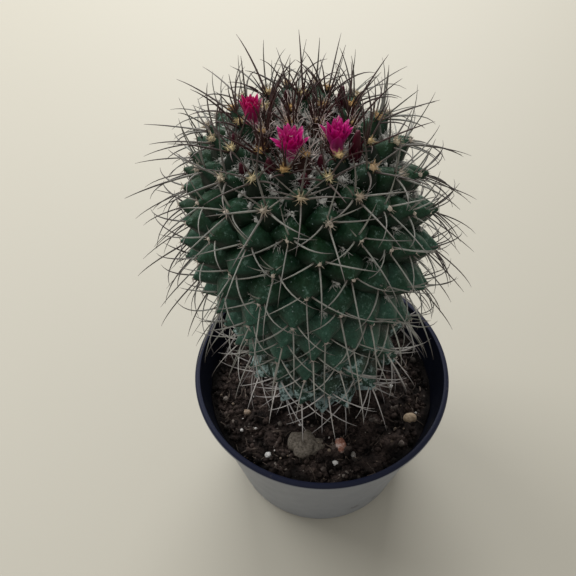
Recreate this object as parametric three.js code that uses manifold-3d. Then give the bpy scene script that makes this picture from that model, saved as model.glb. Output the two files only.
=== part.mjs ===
// A short columnar cactus in flower, in a thin round nursery pot. Millimetres, +Z up.
// The origin is the centre of the pot's underside. Azimuth 0 faces -Y and grows towards +X.

import * as THREE from 'three';
import { mergeVertices } from 'three/addons/utils/BufferGeometryUtils.js';
import Module from 'manifold-3d';

const wasm = await Module();
wasm.setup();

// Clearance between any two pieces that touch on the real plant.
const GAP = 0.3;

// Pot: outer radii at the foot and at the rim, total height, wall and floor.
const POT_FOOT_RADIUS = 45;
const POT_RIM_RADIUS = 60;
const POT_HEIGHT = 78;
const POT_WALL = 1.3;
const POT_FLOOR = 1.6;
const RIM_WIDTH = 3.2;
const RIM_DEPTH = 3.8;
const RIM_ROUND = 0.8;
const POT_SEGMENTS = 48;
const DRAIN_HOLES = 6;
const DRAIN_RADIUS = 4;
const DRAIN_RING_RADIUS = 31;

// Soil: its mean level, and the relief of its crumbly top.
const SOIL_LEVEL = 61;
const SOIL_RINGS = 6;
const SOIL_SEGMENTS = 32;
const SOIL_RELIEF = 0.9;
const SOIL_DISH_DEPTH = 2.2;
const SOIL_DISH_RADIUS = 20;
const SOIL_WAVES = [
  { x: 0.21, y: 0.17, share: 0.8 }, { x: -0.31, y: 0.43, share: 0.6 }, { x: 0.37, y: 0.29, share: 0.5 },
];
const CRUMB_SHARE = 0.7;

// Stem: its axis leans a little to the left, and stands behind the pot's centre.
const STEM_X = 1.9;
const STEM_Y = 6.8;
const STEM_LEAN = -0.074;
const STEM_SEGMENTS = 20;
const STEM_RINGS = 12;
const BURIED_STEM = [[12.5, -4], [11.5, -16], [7, -24], [0, -26]];
const HOLE_MOUTH = [[15.5, 0], [17, 6], [0, 6]];

// Radius and height over the soil of the tubercle tips, from the crown down.
const TIP_OUTLINE = [
  [0, 151], [10, 150.5], [26, 149], [38, 139], [45, 123], [48.5, 102],
  [44, 79], [40, 55.5], [37, 32.5], [30.5, 14.5], [21.5, 0],
];

// Phyllotaxis: each tubercle turns by the golden angle from the one before, and takes more
// skin the further it is from the crown.
const GOLDEN_ANGLE = 137.463;
const FIRST_AZIMUTH = 246.9;
const FIRST_COUNT = -0.47;
const CROWN_AREA = 70;
const AREA_GROWTH = 1.737;
const OUTLINE_STEPS = 3000;
const LOWEST_TIP = 4;

// Tubercles: four-sided pyramids, as shares of their spacing.
const TUBERCLE_LENGTH = 0.75;
const TUBERCLE_HALF_WIDTH = 0.66;
const TUBERCLE_HALF_HEIGHT = 0.62;
const TUBERCLE_ROOT = 3;
const TUBERCLE_OUTWARD = 0.22;

// Spines: three-sided needles in a fan on each tubercle, sunk into its tip side by side.
const SPINE_RADIUS = 0.42;
const SPINE_ROOT = 2.4;
const SPINE_APART = 1;
const LONG_SPINE = 25;
const SIDE_SPINE = 18;
const UPPER_SPINE = 19;
const YOUNG_SPINE_SHARE = 0.8;
const GROWN_COUNT = 60;
const SPINE_SPREAD = 14;
const SPINE_LENGTH_SPREAD = 0.3;
const SPINE_CLEARANCE = 0.8;
const CLEAR_STEPS = 10;
const BEND_STEPS = 6;
const CROWN_COUNT = 45;
const CROWN_SPREAD = 0.35;
const LOW_SPINE_HEIGHT = 45;

// Blooms grow in the hollows between four tubercles, named by their place on the spiral.
const BLOOM_SINK = 2.5;
const FLOWERS = [
  { name: 'flower_1', place: 10.5, reach: 4.8, opening: 16, petal: 9.5, upright: 0.9 },
  { name: 'flower_2', place: 4.53, reach: 5.2, opening: 32, petal: 9, upright: 0.45 },
  { name: 'flower_3', place: 6.64, reach: 5.6, opening: 24, petal: 9.5, upright: 0.5 },
];
const BUDS = [
  { place: 9.5, length: 8, radius: 1.9 },
  { place: 12.5, length: 8.5, radius: 2.1 },
  { place: 14.5, length: 15, radius: 2.1 },
  { place: 15.5, length: 7.5, radius: 1.8 },
  { place: 16.5, length: 11, radius: 2.2 },
  { place: 17.5, length: 8, radius: 2.1 },
  { place: 20.5, length: 7, radius: 1.8 },
  { place: 13.5, length: 8, radius: 1.9 },
  { place: 18.5, length: 8, radius: 1.9 },
];
const BUD_UPRIGHT = 0.5;
const BUD_SIDES = 8;

// Bud outline: share of its radius at shares of its length.
const BUD_OUTLINE = [[0.55, 0], [0.9, 0.2], [1, 0.5], [0.75, 0.8], [0.3, 0.96]];

// Flower tube and petals. The petal's width is given at shares of its length, up to its point.
const FLOWER_TUBE_RADIUS = 2.2;
const TUBE_FOOT_SHARE = 0.7;
const OUTER_PETALS = 9;
const INNER_PETALS = 6;
const PETAL_HALF_WIDTH = 1.15;
const PETAL_THICKNESS = 0.7;
const PETAL_OUTLINE = [[0, 0.55], [0.4, 1], [0.75, 0.85]];
const PETAL_ROOT = 1.2;
const PETAL_ARCH = 0.55;
const INNER_OPENING_SHARE = 0.5;
const INNER_LENGTH_SHARE = 0.85;
const PETAL_TURN_SWAY = 0.15;
const OPENING_SWAY = 0.12;
const PETAL_LENGTH_SWAY = 0.08;

// Stones and perlite lying in the soil: place, half sizes, colour; and how lumpy and high they lie.
const STONES = [
  { name: 'clod', x: -8, y: -32, size: [6.2, 5.6, 4.2], colour: 0x6f665a },
  { name: 'stone_tan', x: 41.5, y: -20, size: [3.2, 2.6, 2.2], colour: 0xa8906a },
  { name: 'stone_rust', x: 7.5, y: -33, size: [2.6, 4.2, 2.4], colour: 0xa0705a },
  { name: 'stone_dark', x: 24, y: -20.5, size: [2.4, 2.2, 2], colour: 0x4c4640 },
  { name: 'stone_small', x: -36.5, y: -14.5, size: [2.4, 1.6, 1.5], colour: 0x9c8560 },
  { name: 'perlite_1', x: -26, y: -36.5, size: [1.5, 1.4, 1.3], colour: 0xe4e2dc },
  { name: 'perlite_2', x: 4.5, y: -41.5, size: [1.4, 1.3, 1.2], colour: 0xe4e2dc },
  { name: 'perlite_3', x: 13, y: -38, size: [1.7, 1.5, 1.4], colour: 0xd9d4cc },
  { name: 'perlite_4', x: 31, y: 38, size: [1.6, 1.4, 1.3], colour: 0xe4e2dc },
];

const STONE_LUMPS = 0.14;
const STONE_RISE = 0.15;

const UP = new THREE.Vector3(0, 0, 1);
const radians = THREE.MathUtils.degToRad;

// Repeatable draw in 0..1 for a pair of numbers.
function draw(a, b) {
  const wave = Math.sin(a * 12.9898 + b * 78.233) * 43758.5453;
  return wave - Math.floor(wave);
}

// The same draw, in -1..1.
function sway(a, b) {
  return 2 * draw(a, b) - 1;
}

function material(colour, roughness) {
  return new THREE.MeshStandardMaterial({ color: colour, roughness, metalness: 0 });
}

// Closed solid of a three.js geometry, for joining and cutting.
function solidOf(geometry) {
  const bare = geometry.clone();
  bare.deleteAttribute('normal');
  bare.deleteAttribute('uv');
  const merged = mergeVertices(bare, 1e-4);
  return new wasm.Manifold(new wasm.Mesh({
    numProp: 3,
    vertProperties: merged.attributes.position.array,
    triVerts: new Uint32Array(merged.index.array),
  }));
}

function geometryOf(solid) {
  const mesh = solid.getMesh();
  const geometry = new THREE.BufferGeometry();
  geometry.setAttribute('position', new THREE.BufferAttribute(mesh.vertProperties, 3));
  geometry.setIndex(new THREE.BufferAttribute(mesh.triVerts, 1));
  geometry.computeVertexNormals();
  return geometry;
}

function joinAll(solids) {
  if (solids.length === 1) return solids[0];
  const half = Math.ceil(solids.length / 2);
  return joinAll(solids.slice(0, half)).add(joinAll(solids.slice(half)));
}

// Outer skin of a joined solid: sealed hollows are filled and loose scraps dropped.
function outerSkin(solid) {
  return solid.decompose().reduce((largest, piece) => (piece.volume() > largest.volume() ? piece : largest));
}

// Round solid from a closed outline of [radius, height] pairs that starts and ends on the axis.
function turned(outline, segments) {
  const points = outline.map(([radius, height]) => new THREE.Vector2(radius, height));
  return new THREE.LatheGeometry(points, segments).rotateX(Math.PI / 2);
}

// Solid of vertices and triangles given as plain arrays.
function facetedSolid(vertices, faces) {
  const geometry = new THREE.BufferGeometry();
  const flat = vertices.flatMap((vertex) => vertex.toArray());
  geometry.setAttribute('position', new THREE.Float32BufferAttribute(flat, 3));
  geometry.setIndex(faces.flat());
  return solidOf(geometry);
}

// Three-sided blade or needle: one triangle of points at each station, then one point.
function taperedSolid(stations, point) {
  const last = 3 * stations.length;
  const faces = [[0, 2, 1]];
  for (let row = 3; row < last; row += 3) {
    for (let side = 0; side < 3; side += 1) {
      const next = (side + 1) % 3;
      faces.push([row - 3 + side, row - 3 + next, row + next]);
      faces.push([row - 3 + side, row + next, row + side]);
    }
  }
  for (let side = 0; side < 3; side += 1) {
    faces.push([last - 3 + side, last - 3 + ((side + 1) % 3), last]);
  }
  return facetedSolid([...stations.flat(), point], faces);
}

function wallRadius(height) {
  const taper = (POT_RIM_RADIUS - RIM_WIDTH + POT_WALL - POT_FOOT_RADIUS) / POT_HEIGHT;
  return POT_FOOT_RADIUS + taper * height;
}

function potSolid() {
  const underRim = POT_HEIGHT - RIM_DEPTH;
  const shell = solidOf(turned([
    [0, 0],
    [POT_FOOT_RADIUS - RIM_ROUND, 0],
    [wallRadius(RIM_ROUND), RIM_ROUND],
    [wallRadius(underRim), underRim],
    [POT_RIM_RADIUS - RIM_ROUND, underRim],
    [POT_RIM_RADIUS, underRim + RIM_ROUND],
    [POT_RIM_RADIUS, POT_HEIGHT - RIM_ROUND],
    [POT_RIM_RADIUS - RIM_ROUND, POT_HEIGHT],
    [POT_RIM_RADIUS - RIM_WIDTH + RIM_ROUND, POT_HEIGHT],
    [POT_RIM_RADIUS - RIM_WIDTH, POT_HEIGHT - RIM_ROUND],
    [wallRadius(POT_FLOOR) - POT_WALL, POT_FLOOR],
    [0, POT_FLOOR],
  ], POT_SEGMENTS));
  return shell.subtract(joinAll(drainSolids()));
}

function drainSolids() {
  return Array.from({ length: DRAIN_HOLES }, (_, hole) => {
    const azimuth = (hole + 0.5) * 2 * Math.PI / DRAIN_HOLES;
    const drill = new THREE.CylinderGeometry(DRAIN_RADIUS, DRAIN_RADIUS, 4 * POT_FLOOR, 12);
    drill.rotateX(Math.PI / 2);
    drill.translate(DRAIN_RING_RADIUS * Math.cos(azimuth), DRAIN_RING_RADIUS * Math.sin(azimuth), 0);
    return solidOf(drill);
  });
}

// Height of the soil's top: crossing waves and a draw for each crumb, level and low by the stem.
function soilHeight(x, y) {
  const waves = SOIL_WAVES.reduce((sum, wave) => sum + wave.share * Math.sin(wave.x * x + wave.y * y), 0);
  const crumbs = CRUMB_SHARE * sway(Math.round(x), Math.round(y));
  const reach = Math.hypot(x - STEM_X, y - STEM_Y) / SOIL_DISH_RADIUS;
  const dish = Math.exp(-(reach ** 4));
  return SOIL_LEVEL + SOIL_RELIEF * (waves + crumbs) * (1 - dish) - SOIL_DISH_DEPTH * dish;
}

function soilGeometry() {
  const rimRadius = wallRadius(SOIL_LEVEL) - POT_WALL - GAP;
  const bottom = POT_FLOOR + GAP;
  const outline = [[0, bottom], [wallRadius(bottom) - POT_WALL - GAP, bottom]];
  for (let ring = SOIL_RINGS; ring > 0; ring -= 1) {
    outline.push([rimRadius * ring / SOIL_RINGS, SOIL_LEVEL]);
  }
  const block = turned([...outline, [0, SOIL_LEVEL]], SOIL_SEGMENTS);
  const spots = block.attributes.position;
  for (let i = 0; i < spots.count; i += 1) {
    if (spots.getZ(i) > SOIL_LEVEL - 1) spots.setZ(i, soilHeight(spots.getX(i), spots.getY(i)));
  }
  return block;
}

// Point on the leaning stem axis at a height over the soil.
function axisAt(height) {
  return new THREE.Vector3(STEM_X + STEM_LEAN * height, STEM_Y, SOIL_LEVEL + height);
}

// The tip outline walked in small steps, with the count of tubercles met so far.
function walkOutline() {
  const knots = TIP_OUTLINE.map(([radius, height]) => new THREE.Vector2(radius, height));
  const curve = new THREE.SplineCurve(knots);
  const walk = [];
  let before = curve.getPoint(0);
  let count = FIRST_COUNT;
  let distance = 0;
  for (let step = 1; step <= OUTLINE_STEPS; step += 1) {
    const here = curve.getPoint(step / OUTLINE_STEPS);
    const stride = here.distanceTo(before);
    const heading = here.clone().sub(before).divideScalar(stride);
    distance += stride;
    const area = CROWN_AREA + AREA_GROWTH * distance;
    count += Math.PI * (here.x + before.x) * stride / area;
    walk.push({ count, radius: here.x, height: here.y, heading, spacing: Math.sqrt(area) });
    before = here;
  }
  return walk;
}

const SPIRAL = walkOutline();

// Frame at any place on the spiral: side, up (along the skin to the crown) and normal.
function frameAt(place) {
  const spot = SPIRAL.find((sample) => sample.count >= place);
  const azimuth = radians(FIRST_AZIMUTH - GOLDEN_ANGLE * place);
  const radial = new THREE.Vector3(Math.sin(azimuth), -Math.cos(azimuth), 0);
  const side = new THREE.Vector3(Math.cos(azimuth), Math.sin(azimuth), 0);
  const { x: outward, y: rising } = spot.heading;
  const normal = radial.clone().multiplyScalar(-rising).addScaledVector(UP, outward);
  const up = radial.clone().multiplyScalar(-outward).addScaledVector(UP, -rising);
  const tip = axisAt(spot.height).addScaledVector(radial, spot.radius);
  const length = TUBERCLE_LENGTH * spot.spacing;
  const lean = normal.clone().addScaledVector(radial, TUBERCLE_OUTWARD).normalize();
  return { ...spot, place, radial, side, normal, up, tip, length, lean };
}

function tubercleFrames() {
  const frames = [];
  const total = Math.floor(SPIRAL[SPIRAL.length - 1].count);
  for (let place = 0; place <= total; place += 1) {
    const frame = frameAt(place);
    if (frame.height >= LOWEST_TIP) frames.push(frame);
  }
  return frames;
}

// Stem without its tubercles: the tip outline set back by their length, then the buried end.
function stemSolid() {
  const stride = Math.floor(SPIRAL.length / STEM_RINGS);
  const outline = [];
  for (let i = stride - 1; i < SPIRAL.length; i += stride) {
    const { radius, height, heading, spacing } = SPIRAL[i];
    const inset = TUBERCLE_LENGTH * spacing;
    outline.push([radius + heading.y * inset, height - heading.x * inset]);
  }
  const crownHeight = SPIRAL[0].height - TUBERCLE_LENGTH * SPIRAL[0].spacing;
  const closed = [[0, crownHeight], ...outline, ...BURIED_STEM].reverse();
  return solidOf(leaning(turned(closed, STEM_SEGMENTS)));
}

// Moves a solid turned round the Z axis onto the leaning stem axis.
function leaning(geometry) {
  const spots = geometry.attributes.position;
  for (let i = 0; i < spots.count; i += 1) {
    const onAxis = axisAt(spots.getZ(i));
    spots.setXYZ(i, spots.getX(i) + onAxis.x, spots.getY(i) + onAxis.y, onAxis.z);
  }
  return geometry;
}

// Plain hole in the soil that the buried stem stands in.
function stemHoleSolid() {
  const deepest = BURIED_STEM[BURIED_STEM.length - 1][1];
  const hole = BURIED_STEM.slice(0, -1).map(([radius, height]) => [radius + 2 * GAP, height]);
  const outline = [[0, deepest - GAP], ...hole.reverse(), ...HOLE_MOUTH];
  return solidOf(leaning(turned(outline, STEM_SEGMENTS)));
}

function tubercleSolid(frame) {
  const depth = frame.length + TUBERCLE_ROOT;
  const flare = frame.spacing * depth / frame.length;
  const basis = new THREE.Matrix4().makeBasis(
    frame.side.clone().multiplyScalar(TUBERCLE_HALF_WIDTH * flare),
    frame.lean.clone().multiplyScalar(depth),
    frame.up.clone().multiplyScalar(-TUBERCLE_HALF_HEIGHT * flare),
  );
  basis.setPosition(frame.tip.clone().addScaledVector(frame.lean, -depth / 2));
  return solidOf(new THREE.ConeGeometry(1, 1, 4).applyMatrix4(basis));
}

// Start and course of the flower or bud that grows at a place on the spiral.
function bloomFrame(place, upright) {
  const frame = frameAt(place);
  const course = frame.normal.clone().addScaledVector(UP, upright).normalize();
  const start = frame.tip.clone().addScaledVector(frame.normal, -frame.length);
  return { ...frame, course, start };
}

// Turned solid set on a start point, with its axis along a course.
function setAlong(geometry, start, course) {
  geometry.applyQuaternion(new THREE.Quaternion().setFromUnitVectors(UP, course));
  return solidOf(geometry.translate(start.x, start.y, start.z));
}

// Bud outline, grown outward by a margin when it cuts its own hollow in the stem.
function budOutline(length, radius, margin) {
  const whole = length + BLOOM_SINK;
  const body = BUD_OUTLINE.map(([share, along]) => [share * radius + margin, along * whole - BLOOM_SINK]);
  return [[0, -BLOOM_SINK - margin], ...body, [0, length + margin]];
}

function budSolid({ place, length, radius }, margin = 0) {
  const { start, course } = bloomFrame(place, BUD_UPRIGHT);
  return setAlong(turned(budOutline(length, radius, margin), BUD_SIDES), start, course);
}

function tubeSolid({ place, reach, upright }, margin = 0) {
  const { start, course } = bloomFrame(place, upright);
  const radius = FLOWER_TUBE_RADIUS + margin;
  const foot = -BLOOM_SINK - margin;
  const outline = [[0, foot], [TUBE_FOOT_SHARE * radius, foot], [radius, reach / 2], [radius, reach],
    [0, reach + margin]];
  return setAlong(turned(outline, BUD_SIDES), start, course);
}

// Arched petal with a keel: it leaves the tube's mouth at an opening angle and bends outward.
function petalSolid(centre, course, turn, opening, length) {
  const across = new THREE.Vector3(1, 0, 0).cross(course).normalize();
  const outward = across.clone().applyAxisAngle(course, turn);
  const sideways = course.clone().cross(outward);
  const spot = (share) => {
    const angle = radians(opening * (1 + PETAL_ARCH * (share - 0.5)));
    return centre.clone()
      .addScaledVector(outward, FLOWER_TUBE_RADIUS / 2 + Math.sin(angle) * share * length)
      .addScaledVector(course, Math.cos(angle) * share * length - PETAL_ROOT);
  };
  const stations = PETAL_OUTLINE.map(([share, width]) => {
    const middle = spot(share);
    const half = width * PETAL_HALF_WIDTH;
    return [
      middle.clone().addScaledVector(sideways, half),
      middle.clone().addScaledVector(sideways, -half),
      middle.clone().addScaledVector(outward, PETAL_THICKNESS).addScaledVector(course, -PETAL_THICKNESS),
    ];
  });
  return taperedSolid(stations, spot(1));
}

function flowerSolid(flower) {
  const { start, course } = bloomFrame(flower.place, flower.upright);
  const mouth = start.clone().addScaledVector(course, flower.reach);
  const pieces = [tubeSolid(flower)];
  for (let petal = 0; petal < OUTER_PETALS + INNER_PETALS; petal += 1) {
    const inner = petal >= OUTER_PETALS;
    const ring = inner ? INNER_PETALS : OUTER_PETALS;
    const step = petal + (inner ? 0.5 : 0);
    const turn = 2 * Math.PI * step / ring + PETAL_TURN_SWAY * sway(petal, flower.place);
    const wider = 1 + OPENING_SWAY * sway(flower.place, petal);
    const longer = 1 + PETAL_LENGTH_SWAY * sway(petal, flower.place + 1);
    const opening = flower.opening * (inner ? INNER_OPENING_SHARE : 1) * wider;
    const length = flower.petal * (inner ? INNER_LENGTH_SHARE : 1) * longer;
    pieces.push(petalSolid(mouth, course, turn, opening, length));
  }
  return joinAll(pieces);
}

// Balls that spines keep out of: a chain along each bud, and one round each flower's petals.
function bloomBalls() {
  const balls = [];
  for (const bud of BUDS) {
    const { start, course } = bloomFrame(bud.place, BUD_UPRIGHT);
    for (let along = 0; along <= bud.length; along += bud.radius) {
      balls.push({ centre: start.clone().addScaledVector(course, along), radius: bud.radius });
    }
  }
  for (const flower of FLOWERS) {
    const { start, course } = bloomFrame(flower.place, flower.upright);
    const spread = flower.petal * Math.sin(radians(flower.opening)) + PETAL_HALF_WIDTH;
    const rise = flower.petal * Math.cos(radians(flower.opening));
    for (let share = 0; share <= 1; share += 0.25) {
      const inTube = start.clone().addScaledVector(course, share * flower.reach);
      const inPetals = start.clone().addScaledVector(course, flower.reach + share * rise);
      balls.push({ centre: inTube, radius: FLOWER_TUBE_RADIUS });
      balls.push({ centre: inPetals, radius: FLOWER_TUBE_RADIUS + share * spread });
    }
  }
  return balls;
}

const BALLS = bloomBalls();

// Spines of a tubercle: a long one aimed down, one to each side, and on young ones a short
// one aimed up.
function spineKinds(frame) {
  const growth = Math.min(1, YOUNG_SPINE_SHARE + frame.place / GROWN_COUNT);
  const kinds = [
    { side: 0, up: -0.85, out: 0.75, length: LONG_SPINE * growth },
    { side: 0.95, up: -0.2, out: 0.6, length: SIDE_SPINE * growth },
    { side: -0.95, up: -0.2, out: 0.6, length: SIDE_SPINE * growth },
  ];
  if (frame.place < GROWN_COUNT) kinds.push({ side: 0, up: 0.8, out: 0.75, length: UPPER_SPINE });
  return kinds;
}

// Root, point and course of one spine. The further it is bent, the more it follows its escape.
function spinePath(frame, kind, number, bend) {
  const crown = Math.min(1, CROWN_SPREAD + frame.place / CROWN_COUNT);
  const course = frame.lean.clone().multiplyScalar(kind.out)
    .addScaledVector(frame.side, crown * kind.side)
    .addScaledVector(frame.up, crown * kind.up)
    .normalize();
  const escape = frame.height > LOW_SPINE_HEIGHT ? frame.lean : frame.radial.clone().addScaledVector(UP, 0.3);
  course.lerp(escape, bend).normalize();
  course.applyAxisAngle(frame.lean, radians(SPINE_SPREAD * sway(frame.place, number + 7)));
  const length = kind.length * (1 + SPINE_LENGTH_SPREAD * (draw(number, frame.place) - 0.6));
  const root = frame.tip.clone().addScaledVector(frame.lean, -SPINE_ROOT)
    .addScaledVector(frame.side, SPINE_APART * kind.side)
    .addScaledVector(frame.up, SPINE_APART * kind.up);
  return { root, point: root.clone().addScaledVector(course, length), course };
}

// Whether a spine keeps clear of the soil, the pot's wall and every bloom, past its root.
function isClear({ root, point }) {
  for (let step = 2; step <= CLEAR_STEPS; step += 1) {
    const spot = root.clone().lerp(point, step / CLEAR_STEPS);
    if (spot.z < soilHeight(spot.x, spot.y) + 2 * SPINE_CLEARANCE) return false;
    const wall = wallRadius(spot.z) - POT_WALL - 2 * SPINE_CLEARANCE;
    if (spot.z < POT_HEIGHT + 2 * SPINE_CLEARANCE && Math.hypot(spot.x, spot.y) > wall) return false;
    if (BALLS.some((ball) => ball.centre.distanceTo(spot) < ball.radius + SPINE_CLEARANCE)) return false;
  }
  return true;
}

function spineSolid({ root, point, course }) {
  const across = course.clone().cross(Math.abs(course.z) < 0.8 ? UP : new THREE.Vector3(1, 0, 0)).normalize();
  const ring = [0, 1, 2].map((corner) => {
    const arm = across.clone().applyAxisAngle(course, corner * 2 * Math.PI / 3);
    return root.clone().addScaledVector(arm, SPINE_RADIUS);
  });
  return taperedSolid([ring], point);
}

// Spines of one tubercle, each bent just far enough to stay clear, or left out.
function spineSolids(frame) {
  const solids = [];
  spineKinds(frame).forEach((kind, number) => {
    for (let step = 0; step < BEND_STEPS; step += 1) {
      const path = spinePath(frame, kind, number, step / BEND_STEPS);
      if (isClear(path)) {
        solids.push(spineSolid(path));
        return;
      }
    }
  });
  return solids;
}

function cactusSolid() {
  const frames = tubercleFrames();
  const hollows = [
    ...BUDS.map((bud) => budSolid(bud, GAP)),
    ...FLOWERS.map((flower) => tubeSolid(flower, GAP)),
  ];
  const body = joinAll([stemSolid(), ...frames.map(tubercleSolid)]).subtract(joinAll(hollows));
  return outerSkin(joinAll([outerSkin(body), ...frames.flatMap(spineSolids)]));
}

// Rounded stone lying half in the soil, grown by a margin when it cuts its own hollow.
function stoneSolid({ x, y, size }, margin = 0) {
  const ball = new THREE.IcosahedronGeometry(1, 1);
  const spots = ball.attributes.position;
  for (let i = 0; i < spots.count; i += 1) {
    const corner = new THREE.Vector3().fromBufferAttribute(spots, i);
    const across = Math.round(9 * corner.x) + x;
    const along = Math.round(9 * corner.y + 5 * corner.z) + y;
    const lump = 1 + STONE_LUMPS * sway(across, along);
    spots.setXYZ(i, ...size.map((half, axis) => corner.getComponent(axis) * (half * lump + margin)));
  }
  return solidOf(ball.translate(x, y, SOIL_LEVEL + STONE_RISE * size[2]));
}

function soilSolid() {
  const hollows = STONES.map((stone) => stoneSolid(stone, GAP));
  return solidOf(soilGeometry()).subtract(joinAll([stemHoleSolid(), ...hollows]));
}

function addPiece(name, solid, finish) {
  const mesh = new THREE.Mesh(geometryOf(solid), finish);
  mesh.name = name;
  plant.add(mesh);
}

const plant = new THREE.Group();
addPiece('pot', potSolid(), material(0x24272d, 0.45));
addPiece('soil', soilSolid(), material(0x2e241e, 0.95));
addPiece('cactus', cactusSolid(), material(0x24452f, 0.6));
FLOWERS.forEach((flower) => addPiece(flower.name, flowerSolid(flower), material(0xb0106a, 0.55)));
BUDS.forEach((bud, i) => addPiece(`bud_${i + 1}`, budSolid(bud), material(0x5a0a24, 0.5)));
STONES.forEach((stone) => addPiece(stone.name, stoneSolid(stone), material(stone.colour, 0.9)));

export default plant;
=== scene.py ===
"""Look of a potted spiny cactus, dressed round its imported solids.

Shapes are worked out in millimetres as whole numpy arrays, most of them rings of points that
are carried along stations, and go into Blender in metres. The origin is the middle of the
pot's underside, +Z is up and the photographed side faces -Y.
"""

import logging
import math
from dataclasses import dataclass
from enum import Enum
from typing import Any

import bpy
import numpy as np
from mathutils import Matrix, Vector


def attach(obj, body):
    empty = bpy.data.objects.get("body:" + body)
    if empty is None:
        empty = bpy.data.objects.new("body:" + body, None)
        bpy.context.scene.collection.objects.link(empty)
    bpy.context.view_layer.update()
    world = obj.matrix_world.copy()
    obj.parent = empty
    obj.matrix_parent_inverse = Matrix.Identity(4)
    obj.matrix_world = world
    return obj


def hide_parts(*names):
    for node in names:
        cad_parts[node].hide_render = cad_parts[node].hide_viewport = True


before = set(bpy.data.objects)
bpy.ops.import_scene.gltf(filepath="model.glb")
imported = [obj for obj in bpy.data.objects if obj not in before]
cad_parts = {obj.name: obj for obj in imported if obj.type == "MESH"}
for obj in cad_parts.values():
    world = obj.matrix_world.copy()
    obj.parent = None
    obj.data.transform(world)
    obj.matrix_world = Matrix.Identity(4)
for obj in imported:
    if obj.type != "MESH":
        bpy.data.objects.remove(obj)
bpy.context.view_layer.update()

LOG = logging.getLogger("cactus")
MM = 0.001
UP = np.array([0.0, 0.0, 1.0])
SIDEWAYS = np.array([1.0, 0.0, 0.0])
NO_TINT = (0.0, 0.0, 0.0, 0.0)
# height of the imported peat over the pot's underside, in mm
SOIL_LEVEL = 61.0
# least vertical share of a path that counts as upright
STEEP = 0.8


class Slot(Enum):
    """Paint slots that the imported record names."""

    POT = "pot"
    SOIL = "soil"
    CACTUS = "cactus"
    FLOWER = "flower"
    BUD = "bud"
    CLOD = "clod"
    STONE = "stone"
    PERLITE = "perlite"


# draws and vectors


def draw(a: Any, b: Any) -> np.ndarray:
    """Repeatable draw for pairs of numbers.

    The broken part of 43758.5453 times the sine of a weighted sum of both numbers, the same
    rule that places the solids.

    Args:
        a: First number or array.
        b: Second number or array.

    Returns:
        Values in 0..1.
    """
    wave = np.sin(np.asarray(a, float) * 12.9898 + np.asarray(b, float) * 78.233) * 43758.5453
    return wave - np.floor(wave)


def sway(a: Any, b: Any) -> np.ndarray:
    """The same draw, in -1..1."""
    return 2 * draw(a, b) - 1


def unit(vectors: np.ndarray) -> np.ndarray:
    """Vectors along the last axis, divided by their lengths."""
    return vectors / np.linalg.norm(vectors, axis=-1, keepdims=True)


def smooth(low: float, high: float, values: np.ndarray) -> np.ndarray:
    """S-shaped step, 3t² - 2t³, from 0 at low to 1 at high."""
    t = np.clip((np.asarray(values) - low) / (high - low), 0, 1)
    return t * t * (3 - 2 * t)


def blend(first: Any, second: Any, share: np.ndarray) -> np.ndarray:
    """From one value or colour to another by a share."""
    first, second = np.asarray(first), np.asarray(second)
    return first + (second - first) * share


def circle(around: int) -> np.ndarray:
    """Corners of a round section of radius 1, as (around, 2) cosines and sines."""
    angle = 2 * np.pi * np.arange(around) / around
    return np.stack([np.cos(angle), np.sin(angle)], axis=1)


def arc(middle: tuple, reach: tuple, first: float, last: float, count: int) -> np.ndarray:
    """Points on an arc between two angles in degrees.

    Args:
        middle: Its middle.
        reach: Its half width and half height.
        first: Angle of the first point, counted from the right towards the top.
        last: Angle of the last point.
        count: Number of points.

    Returns:
        (count, 2) points.
    """
    turn = np.radians(np.linspace(first, last, count))
    return np.array(middle) + np.array(reach) * np.stack([np.cos(turn), np.sin(turn)], axis=1)


def spokes(course: np.ndarray, turns: np.ndarray) -> np.ndarray:
    """Unit directions square to a course, at turns about it.

    Args:
        course: (3,) unit direction.
        turns: (M,) turns in radians.

    Returns:
        (M, 3) directions.
    """
    across = unit(np.cross(SIDEWAYS, course))
    other = np.cross(course, across)
    return across * np.cos(turns)[:, None] + other * np.sin(turns)[:, None]


def turned(outline: Any, around: int) -> np.ndarray:
    """An outline turned about the vertical into rings.

    Args:
        outline: (N, 2) radii and heights.
        around: Corners of a ring.

    Returns:
        (N, around, 3) points.
    """
    outline = np.asarray(outline, float)
    rings = np.empty((len(outline), around, 3))
    rings[..., :2] = outline[:, None, :1] * circle(around)
    rings[..., 2] = outline[:, 1:]
    return rings


def opaque(colours: Any) -> np.ndarray:
    """Colours along the last axis with a fourth channel of 1."""
    colours = np.asarray(colours, float)
    return np.concatenate([colours, np.ones((*colours.shape[:-1], 1))], axis=-1)


def carried(start: np.ndarray, course: np.ndarray, along: np.ndarray) -> np.ndarray:
    """Starts moved along courses by some mm each; along has one axis fewer."""
    return start + course * along[..., None]


def turn_about(vectors: np.ndarray, axes: np.ndarray, angles: np.ndarray) -> np.ndarray:
    """Vectors turned about unit axes: v cos + (k x v) sin + k (k.v) (1 - cos).

    Args:
        vectors: (N, 3) vectors.
        axes: (N, 3) unit axes.
        angles: (N,) angles in radians.

    Returns:
        The turned vectors, (N, 3).
    """
    cos, sin = np.cos(angles)[:, None], np.sin(angles)[:, None]
    along = np.sum(vectors * axes, axis=1, keepdims=True)
    return vectors * cos + np.cross(axes, vectors) * sin + axes * along * (1 - cos)


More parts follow.
